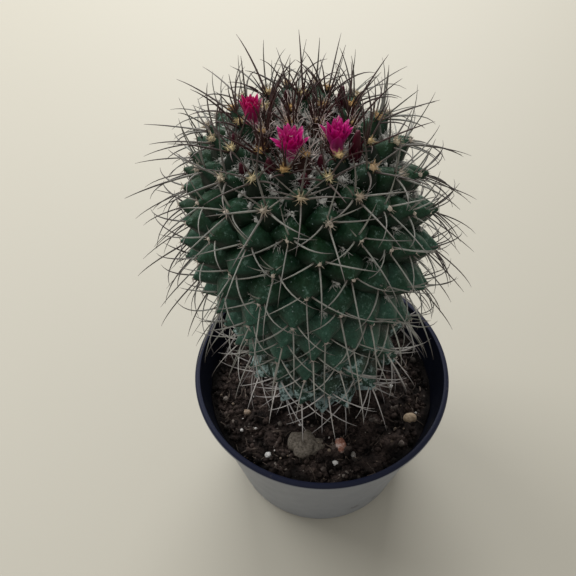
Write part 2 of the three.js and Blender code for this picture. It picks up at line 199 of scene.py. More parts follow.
def rough(points: np.ndarray, size: float, seed: int) -> np.ndarray:
    """Smooth random field in -1..1: lattice draws, blended with 3t² - 2t³ between lattice points.

    Args:
        points: (..., 3) places in mm.
        size: Lattice spacing in mm.
        seed: Chooses the field.

    Returns:
        One value for each place.
    """
    cell = np.floor(points / size)
    t = points / size - cell
    t = t * t * (3 - 2 * t)
    total = np.zeros(points.shape[:-1])
    for corner in np.ndindex(2, 2, 2):
        spot = cell + np.array(corner)
        value = sway(spot[..., 0] + 37.1 * spot[..., 2], spot[..., 1] - 19.7 * spot[..., 2] + seed)
        share = np.prod(np.where(np.array(corner) == 1, t, 1 - t), axis=-1)
        total += value * share
    return total


# meshes


def tinted(grid: np.ndarray, *channels: Any) -> np.ndarray:
    """Tint for a grid's points from up to four channels, the others 0.

    Args:
        grid: (M, S, R, 3) points.
        channels: Values broadcast to (M, S, R).

    Returns:
        (M, S, R, 4) tints.
    """
    tint = np.zeros((*grid.shape[:3], 4))
    for number, values in enumerate(channels):
        tint[..., number] = values
    return tint


class Rings:
    """Ringed surfaces gathered into one mesh, each closed by a cap at both ends."""

    def __init__(self) -> None:
        """Starts with nothing in it."""
        self.points: list[np.ndarray] = []
        self.tints: list[np.ndarray] = []
        self.faces: list[np.ndarray] = []
        self.patches: list[np.ndarray] = []
        self.count = 0

    def add(
        self, grid: np.ndarray, tint: Any = NO_TINT, patches: np.ndarray | int = 0
    ) -> "Rings":
        """Adds surfaces whose point (m, s, r) is corner r of ring s of surface m.

        Four-sided faces join each ring to the next, and a flat face closes each end. All faces
        are turned round if the enclosed volume comes out negative.

        Args:
            grid: (M, S, R, 3) points in mm.
            tint: Values for the finish, broadcast to (M, S, R, 4).
            patches: Number of the finish of each band between two rings.

        Returns:
            This gathering, so that calls can be chained.
        """
        many, stations, around, _ = grid.shape
        number = self.count + np.arange(many * stations * around).reshape(many, stations, around)
        beside = np.roll(number, -1, axis=2)
        quads = np.stack(
            [number[:, :-1], beside[:, :-1], beside[:, 1:], number[:, 1:]], axis=-1
        ).reshape(-1, 4)
        caps = [number[:, 0, ::-1].reshape(many, around), number[:, -1].reshape(many, around)]
        if self._volume(grid) < 0:
            quads = quads[:, ::-1]
            caps = [cap[:, ::-1] for cap in caps]
        self.faces += [quads, *caps]
        bands = np.broadcast_to(patches, (stations - 1,))
        self.patches.append(np.broadcast_to(bands[:, None], (many, stations - 1, around)).ravel())
        self.patches += [np.full(many, bands[0]), np.full(many, bands[-1])]
        self.points.append(grid.reshape(-1, 3))
        self.tints.append(np.broadcast_to(tint, (many, stations, around, 4)).reshape(-1, 4))
        self.count += many * stations * around
        return self

    @staticmethod
    def _volume(grid: np.ndarray) -> float:
        """Volume inside the first surface, times six, from its ring-to-ring faces.

        Args:
            grid: (M, S, R, 3) points in mm.

        Returns:
            Six volumes in cubic mm, below 0 for faces that point inwards.
        """
        first = grid[0] - grid[0].mean(axis=(0, 1))
        beside = np.roll(first, -1, axis=1)
        a, b, c, d = first[:-1], beside[:-1], beside[1:], first[1:]
        return float(np.sum(np.cross(a, b) * c) + np.sum(np.cross(a, c) * d))

    def build(
        self, name: str, material: bpy.types.Material, slot: Slot, *nodes: str,
        second: bpy.types.Material | None = None,
    ) -> Any:
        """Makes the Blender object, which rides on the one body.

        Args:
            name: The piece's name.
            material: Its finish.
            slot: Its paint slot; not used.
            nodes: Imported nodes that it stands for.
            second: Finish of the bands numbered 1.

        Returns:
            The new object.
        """
        mesh = bpy.data.meshes.new(name)
        mesh.vertices.add(self.count)
        mesh.vertices.foreach_set("co", (np.concatenate(self.points) * MM).ravel())
        totals = np.concatenate([np.full(len(f), f.shape[1]) for f in self.faces])
        corners = np.concatenate([f.ravel() for f in self.faces])
        mesh.loops.add(len(corners))
        mesh.polygons.add(len(totals))
        mesh.loops.foreach_set("vertex_index", corners.astype(np.int32))
        starts = np.concatenate([[0], np.cumsum(totals)[:-1]])
        mesh.polygons.foreach_set("loop_start", starts.astype(np.int32))
        mesh.polygons.foreach_set("loop_total", totals.astype(np.int32))
        mesh.polygons.foreach_set("use_smooth", np.ones(len(totals), bool))
        mesh.polygons.foreach_set("material_index", np.concatenate(self.patches).astype(np.int32))
        mesh.update(calc_edges=True)
        tint = mesh.attributes.new("tint", "FLOAT_COLOR", "POINT")
        tint.data.foreach_set("color", np.concatenate(self.tints).astype(np.float32).ravel())
        for finish in filter(None, (material, second)):
            mesh.materials.append(finish)
        made = bpy.data.objects.new(name, mesh)
        bpy.context.collection.objects.link(made)
        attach(made, "root")
        if nodes:
            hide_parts(*nodes)
        LOG.info("%s: %d triangles", name, np.sum(totals - 2))
        return made


def tube(paths: np.ndarray, radii: np.ndarray, around: int) -> np.ndarray:
    """Round sections carried along paths.

    The section at a station lies square to the path there. Its first axis is one fixed
    direction per path with the part along the path taken off, its second the cross product.

    Args:
        paths: (M, S, 3) stations in mm.
        radii: (M, S) radii in mm.
        around: Corners of a section.

    Returns:
        (M, S, around, 3) points.
    """
    course = unit(np.gradient(paths, axis=1))
    whole = unit(paths[:, -1] - paths[:, 0])
    aside = np.where(np.abs(whole[:, 2:]) < STEEP, UP, SIDEWAYS)
    first = np.cross(whole, aside)[:, None]
    first = unit(first - course * np.sum(first * course, axis=-1, keepdims=True))
    second = np.cross(course, first)
    cos, sin = circle(around).T[..., None]
    ring = first[:, :, None] * cos + second[:, :, None] * sin
    return paths[:, :, None] + ring * radii[:, :, None, None]


def lumps(
    centres: np.ndarray, sizes: np.ndarray, turns: np.ndarray, stations: int, around: int,
    bumps: float, seed: int, grain: float = 0.9,
) -> np.ndarray:
    """Uneven stones: balls drawn out to three half sizes, pushed in and out by a random field.

    Ring s of a ball lies at the polar angle pi (s + 0.35) / (stations - 0.3), so that no ring
    is a point.

    Args:
        centres: (M, 3) middles in mm.
        sizes: (M, 3) half sizes in mm.
        turns: (M,) turns about the vertical in radians.
        stations: Rings of each stone.
        around: Corners of a ring.
        bumps: Depth of the unevenness as a share of the size.
        seed: Chooses the field.
        grain: Spacing of the unevenness on a ball of radius 1.

    Returns:
        (M, stations, around, 3) points.
    """
    polar = np.pi * (np.arange(stations) + 0.35) / (stations - 0.3)
    ball = turned(np.stack([np.sin(polar), np.cos(polar)], 1), around)
    apart = ball + 7.3 * np.arange(len(centres))[:, None, None, None]
    push = 1 + bumps * (rough(apart, grain, seed) + 0.5 * rough(apart, grain / 2.3, seed + 1))
    shaped = ball * push[..., None] * sizes[:, None, None]
    cos, sin = np.cos(turns)[:, None, None], np.sin(turns)[:, None, None]
    x, y, z = shaped[..., 0], shaped[..., 1], shaped[..., 2]
    return np.stack([x * cos - y * sin, x * sin + y * cos, z], axis=-1) + centres[:, None, None]


# shader tools


class Wire:
    """One number carried between shader nodes. Its operators add Math nodes."""

    def __init__(self, shader: "Shader", socket: bpy.types.NodeSocket) -> None:
        """Holds an output socket of a shader's node."""
        self.shader = shader
        self.socket = socket

    def _math(self, operation: str, first: Any, second: Any = 0.0) -> "Wire":
        """A Math node's result for two wires or numbers."""
        return self.shader.node("ShaderNodeMath", {"operation": operation}, {0: first, 1: second})

    def __add__(self, other: Any) -> "Wire":
        """Sum."""
        return self._math("ADD", self, other)

    __radd__ = __add__

    def __sub__(self, other: Any) -> "Wire":
        """Difference."""
        return self._math("SUBTRACT", self, other)

    def __rsub__(self, other: Any) -> "Wire":
        """Difference from a number."""
        return self._math("SUBTRACT", other, self)

    def __mul__(self, other: Any) -> "Wire":
        """Product."""
        return self._math("MULTIPLY", self, other)

    __rmul__ = __mul__

    def __truediv__(self, other: Any) -> "Wire":
        """Quotient."""
        return self._math("DIVIDE", self, other)

    def __rtruediv__(self, other: Any) -> "Wire":
        """Quotient of a number by the wire."""
        return self._math("DIVIDE", other, self)

    def clamped(self) -> "Wire":
        """The value held in 0..1."""
        return self.shader.node("ShaderNodeClamp", {}, {0: self})

    def step(self, low: float, high: float) -> "Wire":
        """S-shaped step from 0 at low to 1 at high.

        Args:
            low: Value that gives 0.
            high: Value that gives 1.

        Returns:
            The step's wire.
        """
        return self.shader.node(
            "ShaderNodeMapRange", {"interpolation_type": "SMOOTHSTEP"}, {0: self, 1: low, 2: high}
        )


class Shader:
    """A material being made, with one method for any node and a few for the common ones."""

    def __init__(self, name: str) -> None:
        """Makes an empty node material."""
        self.material = bpy.data.materials.new(name)
        self.material.use_nodes = True
        self.tree = self.material.node_tree
        self.tree.nodes.clear()

    def node(self, kind: str, settings: dict, inputs: dict, out: Any = 0) -> Wire:
        """Adds any node.

        Args:
            kind: The node's type.
            settings: Values of its properties, set first; "stops" are a ramp's stops.
            inputs: Wires or values of its sockets, by number or name.
            out: Number or name of the output that is wanted.

        Returns:
            The wire from that output.
        """
        made = self.tree.nodes.new(kind)
        for key, value in settings.items():
            if key == "stops":
                ramp = made.color_ramp.elements
                while len(ramp) < len(value):
                    ramp.new(0.5)
                for stop, (place, colour) in zip(ramp, value):
                    stop.position, stop.color = place, (*colour, 1)
            else:
                setattr(made, key, value)
        for key, value in inputs.items():
            if isinstance(value, Wire):
                self.tree.links.new(value.socket, made.inputs[key])
            else:
                made.inputs[key].default_value = value
        return Wire(self, made.outputs[out])

    def place(self) -> Wire:
        """Object coordinates, in metres."""
        return self.node("ShaderNodeTexCoord", {}, {}, "Object")

    def near(self, spot: tuple, size: float) -> Wire:
        """1 at a spot in mm, falling evenly to 0 at size mm from it.

        Args:
            spot: Its middle in mm.
            size: Its reach in mm.

        Returns:
            The share's wire.
        """
        middle = tuple(v * MM for v in spot)
        apart = self.node(
            "ShaderNodeVectorMath", {"operation": "DISTANCE"}, {0: self.place(), 1: middle}, "Value"
        )
        return 1 - apart / (size * MM)

    def colour(self) -> Wire:
        """The mesh's tint attribute as a colour."""
        return self.node("ShaderNodeAttribute", {"attribute_name": "tint"}, {}, "Color")

    def tint(self, channel: int) -> Wire:
        """One channel, 0 to 3, of the mesh's tint attribute.

        Args:
            channel: Its number.

        Returns:
            Its wire.
        """
        if channel == 3:
            return self.node("ShaderNodeAttribute", {"attribute_name": "tint"}, {}, "Alpha")
        return self.node("ShaderNodeSeparateColor", {}, {0: self.colour()}, channel)

    def noise(self, size: float, detail: float = 2, roughness: float = 0.5) -> Wire:
        """Noise whose blobs are about size mm across, near 0.5 on average."""
        inputs = {"Scale": 1 / (size * MM), "Detail": detail, "Roughness": roughness}
        return self.node("ShaderNodeTexNoise", {}, {"Vector": self.place(), **inputs})

    def cells(self, size: float) -> Wire:
        """Distance to the nearest of points scattered about size mm apart, as a share of that."""
        inputs = {"Vector": self.place(), "Scale": 1 / (size * MM)}
        return self.node("ShaderNodeTexVoronoi", {}, inputs, "Distance")

    def mix(self, share: Any, first: Any, second: Any) -> Wire:
        """Colour between two colours or wires.

        Args:
            share: Share of the second, 0..1.
            first: Colour at share 0.
            second: Colour at share 1.

        Returns:
            The colour's wire.
        """
        ends = [c if isinstance(c, Wire) else (*c, 1) for c in (first, second)]
        return self.node(
            "ShaderNodeMix", {"data_type": "RGBA"}, {0: share, 6: ends[0], 7: ends[1]}, 2
        )

    def scaled(self, colour: Wire, factor: Wire) -> Wire:
        """A colour times a factor."""
        return self.node("ShaderNodeVectorMath", {"operation": "SCALE"}, {0: colour, 3: factor})

    def ramp(self, value: Wire, stops: list) -> Wire:
        """Colour of a value on a ramp of (place, colour) stops."""
        return self.node("ShaderNodeValToRGB", {"stops": stops}, {0: value})

    def bump(self, height: Wire, depth: float) -> Wire:
        """Normal bent by a height in 0..1, worth depth mm.

        Args:
            height: The height's wire.
            depth: Its worth in mm.

        Returns:
            The normal's wire.
        """
        return self.node(
            "ShaderNodeBump", {}, {"Strength": 1.0, "Distance": depth * MM, "Height": height}
        )

    def finish(self, **sockets: Any) -> bpy.types.Material:
        """Puts a Principled shader on the material.

        Args:
            sockets: Its inputs by name, with underscores for spaces.

        Returns:
            The finished material.
        """
        names = {key.replace("_", " "): value for key, value in sockets.items()}
        names = {
            key: (*value, 1) if isinstance(value, tuple) and "Color" in key else value
            for key, value in names.items()
        }
        shader = self.node("ShaderNodeBsdfPrincipled", {}, names)
        output = self.tree.nodes.new("ShaderNodeOutputMaterial")
        self.tree.links.new(shader.socket, output.inputs["Surface"])
        return self.material


# finishes


@dataclass(frozen=True)
class SkinFinish:
    """Dark blue-green skin in paler clouds, with painted light and shade: lighter on faces that look
    up, darker on faces that look down, in the creases and low on the plant; a pale veil of dust that
    is also painted sheen, and a whitish crust in places.

    Tint holds depth under the tip, height on the plant, a draw and how far a face looks up.
    """

    face: tuple = (0.0175, 0.0520, 0.0340)
    youth: tuple = (0.0055, 0.0260, 0.0070)
    pale: tuple = (0.0350, 0.1000, 0.0720)
    # pale veil that is dust and also painted sheen
    dust: tuple = (0.1600, 0.2700, 0.2150)
    olive: tuple = (0.0230, 0.0400, 0.0160)
    russet: tuple = (0.0320, 0.0085, 0.0055)
    # painted shade in the creases between tubercles
    crease_shade: tuple = (0.0008, 0.0088, 0.0020)
    crust: tuple = (0.40, 0.54, 0.53)
    young_heights: tuple = (0.52, 0.88)
    russet_heights: tuple = (1.05, 1.35)
    # heights over which the painted shade low on the plant lifts
    shaded_heights: tuple = (0.1, 0.5)
    cloud_size: float = 6
    stain_size: float = 8
    shade_size: float = 1.5
    dust_size: float = 2.4
    speck_size: float = 2.3
    speck_patch: float = 5
    crust_size: float = 2.6
    patch_size: float = 24
    relief: float = 0.35

    def material(self) -> bpy.types.Material:
        """Makes the finish's nodes.

        Returns:
            The material.
        """
        s = Shader("cactus_skin")
        depth, height, each, upper = (s.tint(k) for k in range(4))
        base = self._flesh(s, height, each, upper)
        shade = 0.3 + 1.4 * s.noise(self.shade_size, 5, 0.8)
        # The noise is random mottling; the height factor is painted shade, darker low on the plant.
        base = s.scaled(base, shade * (0.36 + 0.64 * height.step(*self.shaded_heights)))
        # Dust and painted sheen: a pale veil in noise patches, mostly on faces that look up.
        dust = (s.noise(self.dust_size, 7, 0.8) - 0.5) * 14 + upper * 1.3 + height * 0.4 - 2.3
        base = s.mix(dust.clamped() * 0.6, base, self.dust)
        # Painted shade in the creases between tubercles, reaching further out low on the plant; the
        # crust is thinner there.
        crease_shade = (depth * (0.9 + (1.3 - 1.9 * height).clamped())).step(0.5, 1.0)
        base = s.mix(crease_shade * 0.95, base, self.crease_shade)
        crust = self._crust(s, height) * (1 - crease_shade * 0.7)
        base = s.mix(crust, base, self.crust)
        grain = s.noise(0.7, 4, 0.6) * 0.5 + s.noise(3.5, 2) * 0.5 + crust * 0.3
        return s.finish(
            Base_Color=base, Roughness=s.noise(4, 2) * 0.2 + 0.38 + crust * 0.25,
            Normal=s.bump(grain, self.relief), Specular_IOR_Level=0.2,
        )

    def _flesh(self, s: Shader, height: Wire, each: Wire, upper: Wire) -> Wire:
        """Green of the clean skin: cloudy, fresher high up, stained and russet at the crown, with
        painted light and shade, lighter on faces that look up and darker on faces that look down.

        Args:
            s: The shader.
            height: Height on the plant.
            each: A draw per tubercle.
            upper: How far a face looks up.

        Returns:
            The colour.
        """
        cloud = (s.noise(self.cloud_size, 6, 0.7) - 0.36) * 2.6
        share = (cloud + each * 0.35 - 0.25).clamped() * (1.25 - height * 0.95)
        face = s.mix(height.step(*self.young_heights), self.face, self.youth)
        # Painted light and shade: faces that look up lighter, faces that look down darker.
        base = s.scaled(s.mix(share, face, self.pale), 0.28 + upper * 1.05)
        stain = (s.noise(self.stain_size, 4) - height * 0.35).step(0.40, 0.52)
        base = s.mix(stain * 0.4, base, self.olive)
        return s.mix(height.step(*self.russet_heights) * 0.85, base, self.russet)

    def _crust(self, s: Shader, height: Wire) -> Wire:
        """Share of whitish crust, in patches low on the plant and in fine specks.

        Args:
            s: The shader.
            height: Height on the plant.

        Returns:
            The share, 0..1.
        """
        specks = 1 - s.cells(self.speck_size).step(0.06, 0.14)
        specks = specks * s.noise(self.speck_patch, 3).step(0.42, 0.6)
        crust = s.noise(self.crust_size, 6, 0.75) + 0.24 * s.noise(self.patch_size, 1)
        crust = (crust - 0.40 * height + 0.065).step(0.585, 0.69)
        return (crust * 0.8 + specks * 0.5).clamped()


@dataclass(frozen=True)
class SpineFinish:
    """Horny spines, purple-brown when young and pinkish tan when old, darker to the point."""

    young: tuple = (0.034, 0.0065, 0.0050)
    grown: tuple = (0.335, 0.343, 0.303)
    faded: tuple = (0.64, 0.61, 0.59)
    point: tuple = (0.045, 0.022, 0.020)
    # painted shade for spines where they stand out at either side of the plant
    outer: tuple = (0.026, 0.013, 0.011)
    foot: tuple = (0.110, 0.042, 0.030)
    foot_shares: tuple = (0.16, 0.04)
    point_shares: tuple = (0.3, 1.0)

    def colour(self, u: np.ndarray, age: np.ndarray, low: np.ndarray, each: np.ndarray) -> np.ndarray:
        """Colour along spines: by age, faded low on the plant, and dark to the point.

        Args:
            u: (S,) shares of the length.
            age: (M,) 0 for the youngest spines, 1 for grown ones.
            low: (M,) 1 for the lowest spines.
            each: (M,) a draw per spine.

        Returns:
            (M, S, 3) colours.
        """
        base = blend(self.young, blend(self.grown, self.faded, low[:, None]), age[:, None])
        base = base * (0.72 + 0.5 * each[:, None])
        dark = smooth(*self.point_shares, u) * (0.7 - 0.6 * low + 0.25 * (each - 0.5))[:, None]
        colour = blend(base[:, None], self.point, np.clip(dark, 0, 1)[..., None])
        return blend(colour, self.foot, smooth(*self.foot_shares, u)[:, None] * 0.75)

    def material(self) -> bpy.types.Material:
        """Makes the finish's nodes; tint holds the colour itself.

        Returns:
            The material.
        """
        s = Shader("spine")
        base = s.scaled(s.colour(), 0.6 + 0.8 * s.noise(1.6, 3))
        return s.finish(Base_Color=base, Roughness=0.5, Normal=s.bump(s.noise(0.5, 2), 0.05))


@dataclass(frozen=True)
class WoolFinish:
    """Soft wool and short bristles; tint holds the colour itself."""

    shade: tuple = (0.34, 0.29, 0.24)

    def material(self) -> bpy.types.Material:
        """Makes the finish's nodes.

        Returns:
            The material.
        """
        s = Shader("wool")
        base = s.mix(s.noise(0.9, 3) * 0.22, s.colour(), self.shade)
        return s.finish(
            Base_Color=base, Roughness=0.92, Specular_IOR_Level=0.15,
            Normal=s.bump(s.noise(0.35, 3), 0.12),
        )


@dataclass(frozen=True)
class PetalFinish:
    """Thin satin petals; tint holds share along, distance from the midline and redness."""

    magenta: tuple = (0.50, 0.003, 0.205)
    crimson: tuple = (0.50, 0.003, 0.060)
    pale: tuple = (0.62, 0.13, 0.26)
    stripe: tuple = (0.38, 0.001, 0.11)

    def material(self) -> bpy.types.Material:
        """Makes the finish's nodes.

        Returns:
            The material.
        """
        s = Shader("petal")
        along, across, red = (s.tint(k) for k in range(3))
        base = s.mix(red, self.magenta, self.crimson)
        base = s.mix((1 - along.step(0.05, 0.55)) * 0.6, base, self.pale)
        base = s.mix((1 - across.step(0.1, 0.5)) * 0.55, base, self.stripe)
        return s.finish(
            Base_Color=base, Roughness=0.42, Normal=s.bump(s.noise(0.5, 3), 0.08),
            Subsurface_Weight=0.12, Subsurface_Radius=(0.6, 0.2, 0.3), Subsurface_Scale=0.001,
        )


@dataclass(frozen=True)
class BudFinish:
    """Dark red closed buds; tint holds share along and distance from a scale's midline."""

    dark: tuple = (0.024, 0.0012, 0.0050)
    bright: tuple = (0.085, 0.0020, 0.0160)

    def material(self) -> bpy.types.Material:
        """Makes the finish's nodes.

        Returns:
            The material.
        """
        s = Shader("bud")
        along, across = s.tint(0), s.tint(1)
        base = s.mix((along.step(0.4, 1.0) * 0.6 + across * 0.4).clamped(), self.dark, self.bright)
        return s.finish(
            Base_Color=base, Roughness=0.45, Specular_IOR_Level=0.25,
            Normal=s.bump(s.noise(0.6, 3), 0.1),
        )


@dataclass(frozen=True)
class PotFinish:
    """Moulded plastic with fine scuffs, dried dirt and smeared spots; tint holds the lit bead, which
    gets a painted highlight.
    """

    name: str
    plastic: tuple
    scuffed: tuple
    gloss: float
    smears: float = 0.0
    dirt: tuple = (0.15, 0.12, 0.095)
    smear: tuple = (0.012, 0.011, 0.010)
    # brighter, bluer painted highlight on the lit top of the rim's bead
    bead: tuple = (0.0135, 0.0165, 0.0350)
    spots: tuple = (((15.5, -45.1, 15.5), 7.6), ((26.4, -39.1, 13.0), 5.8))

    def material(self) -> bpy.types.Material:
        """Makes the finish's nodes.

        Returns:
            The material.
        """
        s = Shader(self.name)
        base = s.mix(s.noise(18, 4, 0.6), self.plastic, self.scuffed)
        # Painted highlight: the lit top of the rim's bead gets a brighter, bluer colour.
        base = s.mix(s.tint(0), base, self.bead)
        dust = s.noise(5, 6, 0.7).step(0.62, 0.76) * 0.3
        base = s.mix(dust, base, self.dirt)
        for spot, size in self.spots:
            smear = (s.near(spot, size) * 2.4 + s.noise(2.2, 6, 0.85) * 7 - 4.8).clamped()
            base = s.mix(smear * self.smears, base, self.smear)
        return s.finish(
            Base_Color=base, Roughness=s.noise(7, 3) * 0.18 + 0.32 + dust * 0.4,
            Normal=s.bump(s.noise(1.3, 3), 0.05), Specular_IOR_Level=self.gloss,
        )


@dataclass(frozen=True)
class EarthFinish:
    """Damp peat: brown on the crumbs, near black in the hollows as painted shade, with pale grit, and
    painted shade along the pot's wall.
    """

    dark: tuple = (0.0045, 0.0030, 0.0026)
    brown: tuple = (0.078, 0.056, 0.048)
    grit: tuple = (0.32, 0.285, 0.25)

    def material(self) -> bpy.types.Material:
        """Makes the finish's nodes; tint holds rise over the hollows, a draw and the painted shade
        along the pot's wall.

        Returns:
            The material.
        """
        s = Shader("peat")
        rise, each, edge = (s.tint(k) for k in range(3))
        # Painted shade: the rise term keeps the hollows of the relief near black.
        brown = s.noise(1.0, 5, 0.75) * 2.4 + rise * 0.45 + each * 0.7 - 1.40
        base = s.mix(brown.clamped(), self.dark, self.brown)
        base = s.mix(each.step(0.86, 1.0) * 0.5, base, self.grit)
        grit = (1 - s.cells(3.1).step(0.10, 0.2)) * s.noise(11, 2).step(0.5, 0.62)
        base = s.mix(grit * 0.55, base, self.grit)
        # Random blotches, times painted shade that turns the peat near black along the pot's wall.
        base = s.scaled(base, (0.35 + 1.3 * s.noise(9, 3).step(0.34, 0.64)) * (1 - 0.85 * edge))
        return s.finish(
            Base_Color=base, Roughness=0.93, Specular_IOR_Level=0.2,
            Normal=s.bump(s.noise(0.7, 4, 0.75), 0.7),
        )


@dataclass(frozen=True)
class StoneFinish:
    """Speckled stone or foamed grain: three colours in patches of a given size."""

    name: str
    colours: tuple
    patch: float = 2.0
    roughness: float = 0.75
    relief: float = 0.25
    stops: tuple = (0.36, 0.5, 0.64)

    def material(self) -> bpy.types.Material:
        """Makes the finish's nodes.

        Returns:
            The material.
        """
        s = Shader(self.name)
        base = s.ramp(s.noise(self.patch, 5, 0.65), list(zip(self.stops, self.colours)))
        return s.finish(
            Base_Color=base, Roughness=self.roughness,
            Normal=s.bump(s.noise(self.patch / 3, 4, 0.7), self.relief),
        )


# the spiral of tubercles


@dataclass
class Frames:
    """Axes and sizes at places on the spiral, as arrays with a row per place."""

    place: np.ndarray
    height: np.ndarray
    spacing: np.ndarray
    length: np.ndarray
    radial: np.ndarray
    side: np.ndarray
    normal: np.ndarray
    up: np.ndarray
    tip: np.ndarray
    lean: np.ndarray

    def where(self, kept: np.ndarray) -> "Frames":
        """Frames of the places for which kept holds."""
        return Frames(*(values[kept] for values in vars(self).values()))


@dataclass
class Spiral:
    """Spiral of tubercle tips, walked down a smooth outline of the plant.

    A place's azimuth falls by the golden angle. Along the outline the count of places grows by
    the area walked over, divided by an area per place that grows with the distance.
    """

    stem_x: float = 1.9
    stem_y: float = 6.8
    stem_lean: float = -0.074
    outline: tuple = (
        (0, 151), (10, 150.5), (26, 149), (38, 139), (45, 123), (48.5, 102), (44, 79),
        (40, 55.5), (37, 32.5), (30.5, 14.5), (21.5, 0),
    )
    golden_angle: float = 137.463
    first_azimuth: float = 246.9
    first_count: float = -0.47
    crown_area: float = 70
    area_growth: float = 1.737
    steps: int = 3000
    tubercle_length: float = 0.75
    outward: float = 0.22
    lowest_tip: float = 4

    def __post_init__(self) -> None:
        """Walks the outline and keeps its radius, height, heading and count of places.

        It is a cubic curve through the outline's points, whose slope at a point is half the
        way from the point before to the point after.
        """
        knots = np.array(self.outline, float)
        last = len(knots) - 1
        t = np.arange(self.steps + 1) / self.steps * last
        cell = np.minimum(np.floor(t), last).astype(int)
        w = (t - cell)[:, None]
        before, here = knots[np.maximum(cell - 1, 0)], knots[cell]
        after, beyond = knots[np.minimum(cell + 1, last)], knots[np.minimum(cell + 2, last)]
        rise, fall = (after - before) / 2, (beyond - here) / 2
        curve = (
            (2 * here - 2 * after + rise + fall) * w**3
            + (3 * after - 3 * here - 2 * rise - fall) * w**2 + rise * w + here
        )
        stride = np.linalg.norm(np.diff(curve, axis=0), axis=1)
        area = self.crown_area + self.area_growth * np.cumsum(stride)
        girth = np.pi * (curve[1:, 0] + curve[:-1, 0]) * stride
        self.count = self.first_count + np.cumsum(girth / area)
        self.radius, self.rise = curve[1:, 0], curve[1:, 1]
        self.heading = np.diff(curve, axis=0) / stride[:, None]
        self.spacing = np.sqrt(area)

    def axis(self, height: np.ndarray) -> np.ndarray:
        """Points of the leaning stem axis at heights over the soil.

        Args:
            height: (M,) heights in mm.

        Returns:
            (M, 3) points.
        """
        height = np.asarray(height, float)
        x = self.stem_x + self.stem_lean * height
        return np.stack([x, np.full_like(x, self.stem_y), SOIL_LEVEL + height], axis=-1)

    def at(self, place: np.ndarray) -> Frames:
        """Frames at places, whole or not.

        Args:
            place: (M,) places.

        Returns:
            Their frames.
        """
        place = np.asarray(place, float)
        spot = np.searchsorted(self.count, place)
        azimuth = np.radians(self.first_azimuth - self.golden_angle * place)
        sin, cos, none = np.sin(azimuth), np.cos(azimuth), np.zeros_like(place)
        radial, side = np.stack([sin, -cos, none], 1), np.stack([cos, sin, none], 1)
        out, rising = self.heading[spot, :1], self.heading[spot, 1:]
        normal, up = -rising * radial + out * UP, -out * radial - rising * UP
        height, spacing = self.rise[spot], self.spacing[spot]
        tip = self.axis(height) + radial * self.radius[spot, None]
        length = self.tubercle_length * spacing
        lean = unit(normal + self.outward * radial)
        return Frames(place, height, spacing, length, radial, side, normal, up, tip, lean)

    def tubercles(self) -> Frames:
        """Frames of every tubercle."""
        whole = self.at(np.arange(int(self.count[-1]) + 1))
        return whole.where(whole.height >= self.lowest_tip)


SPIRAL = Spiral()


@dataclass
class Soil:
    """Top of the peat that fills the pot, as a height field."""

    relief: float = 0.9
    dish_depth: float = 2.2
    dish_radius: float = 20
    waves: tuple = ((0.21, 0.17, 0.8), (-0.31, 0.43, 0.6), (0.37, 0.29, 0.5))

    def height(self, x: np.ndarray, y: np.ndarray) -> np.ndarray:
        """Smooth height of the top: crossing waves, level and lower round the stem.

        Args:
            x: Places in mm.
            y: The same, front to back.

        Returns:
            Heights in mm over the pot's underside.
        """
        waves = sum(share * np.sin(a * x + b * y) for a, b, share in self.waves)
        reach = np.hypot(x - SPIRAL.stem_x, y - SPIRAL.stem_y) / self.dish_radius
        dish = np.exp(-(reach**4))
        return SOIL_LEVEL + self.relief * waves * (1 - dish) - self.dish_depth * dish


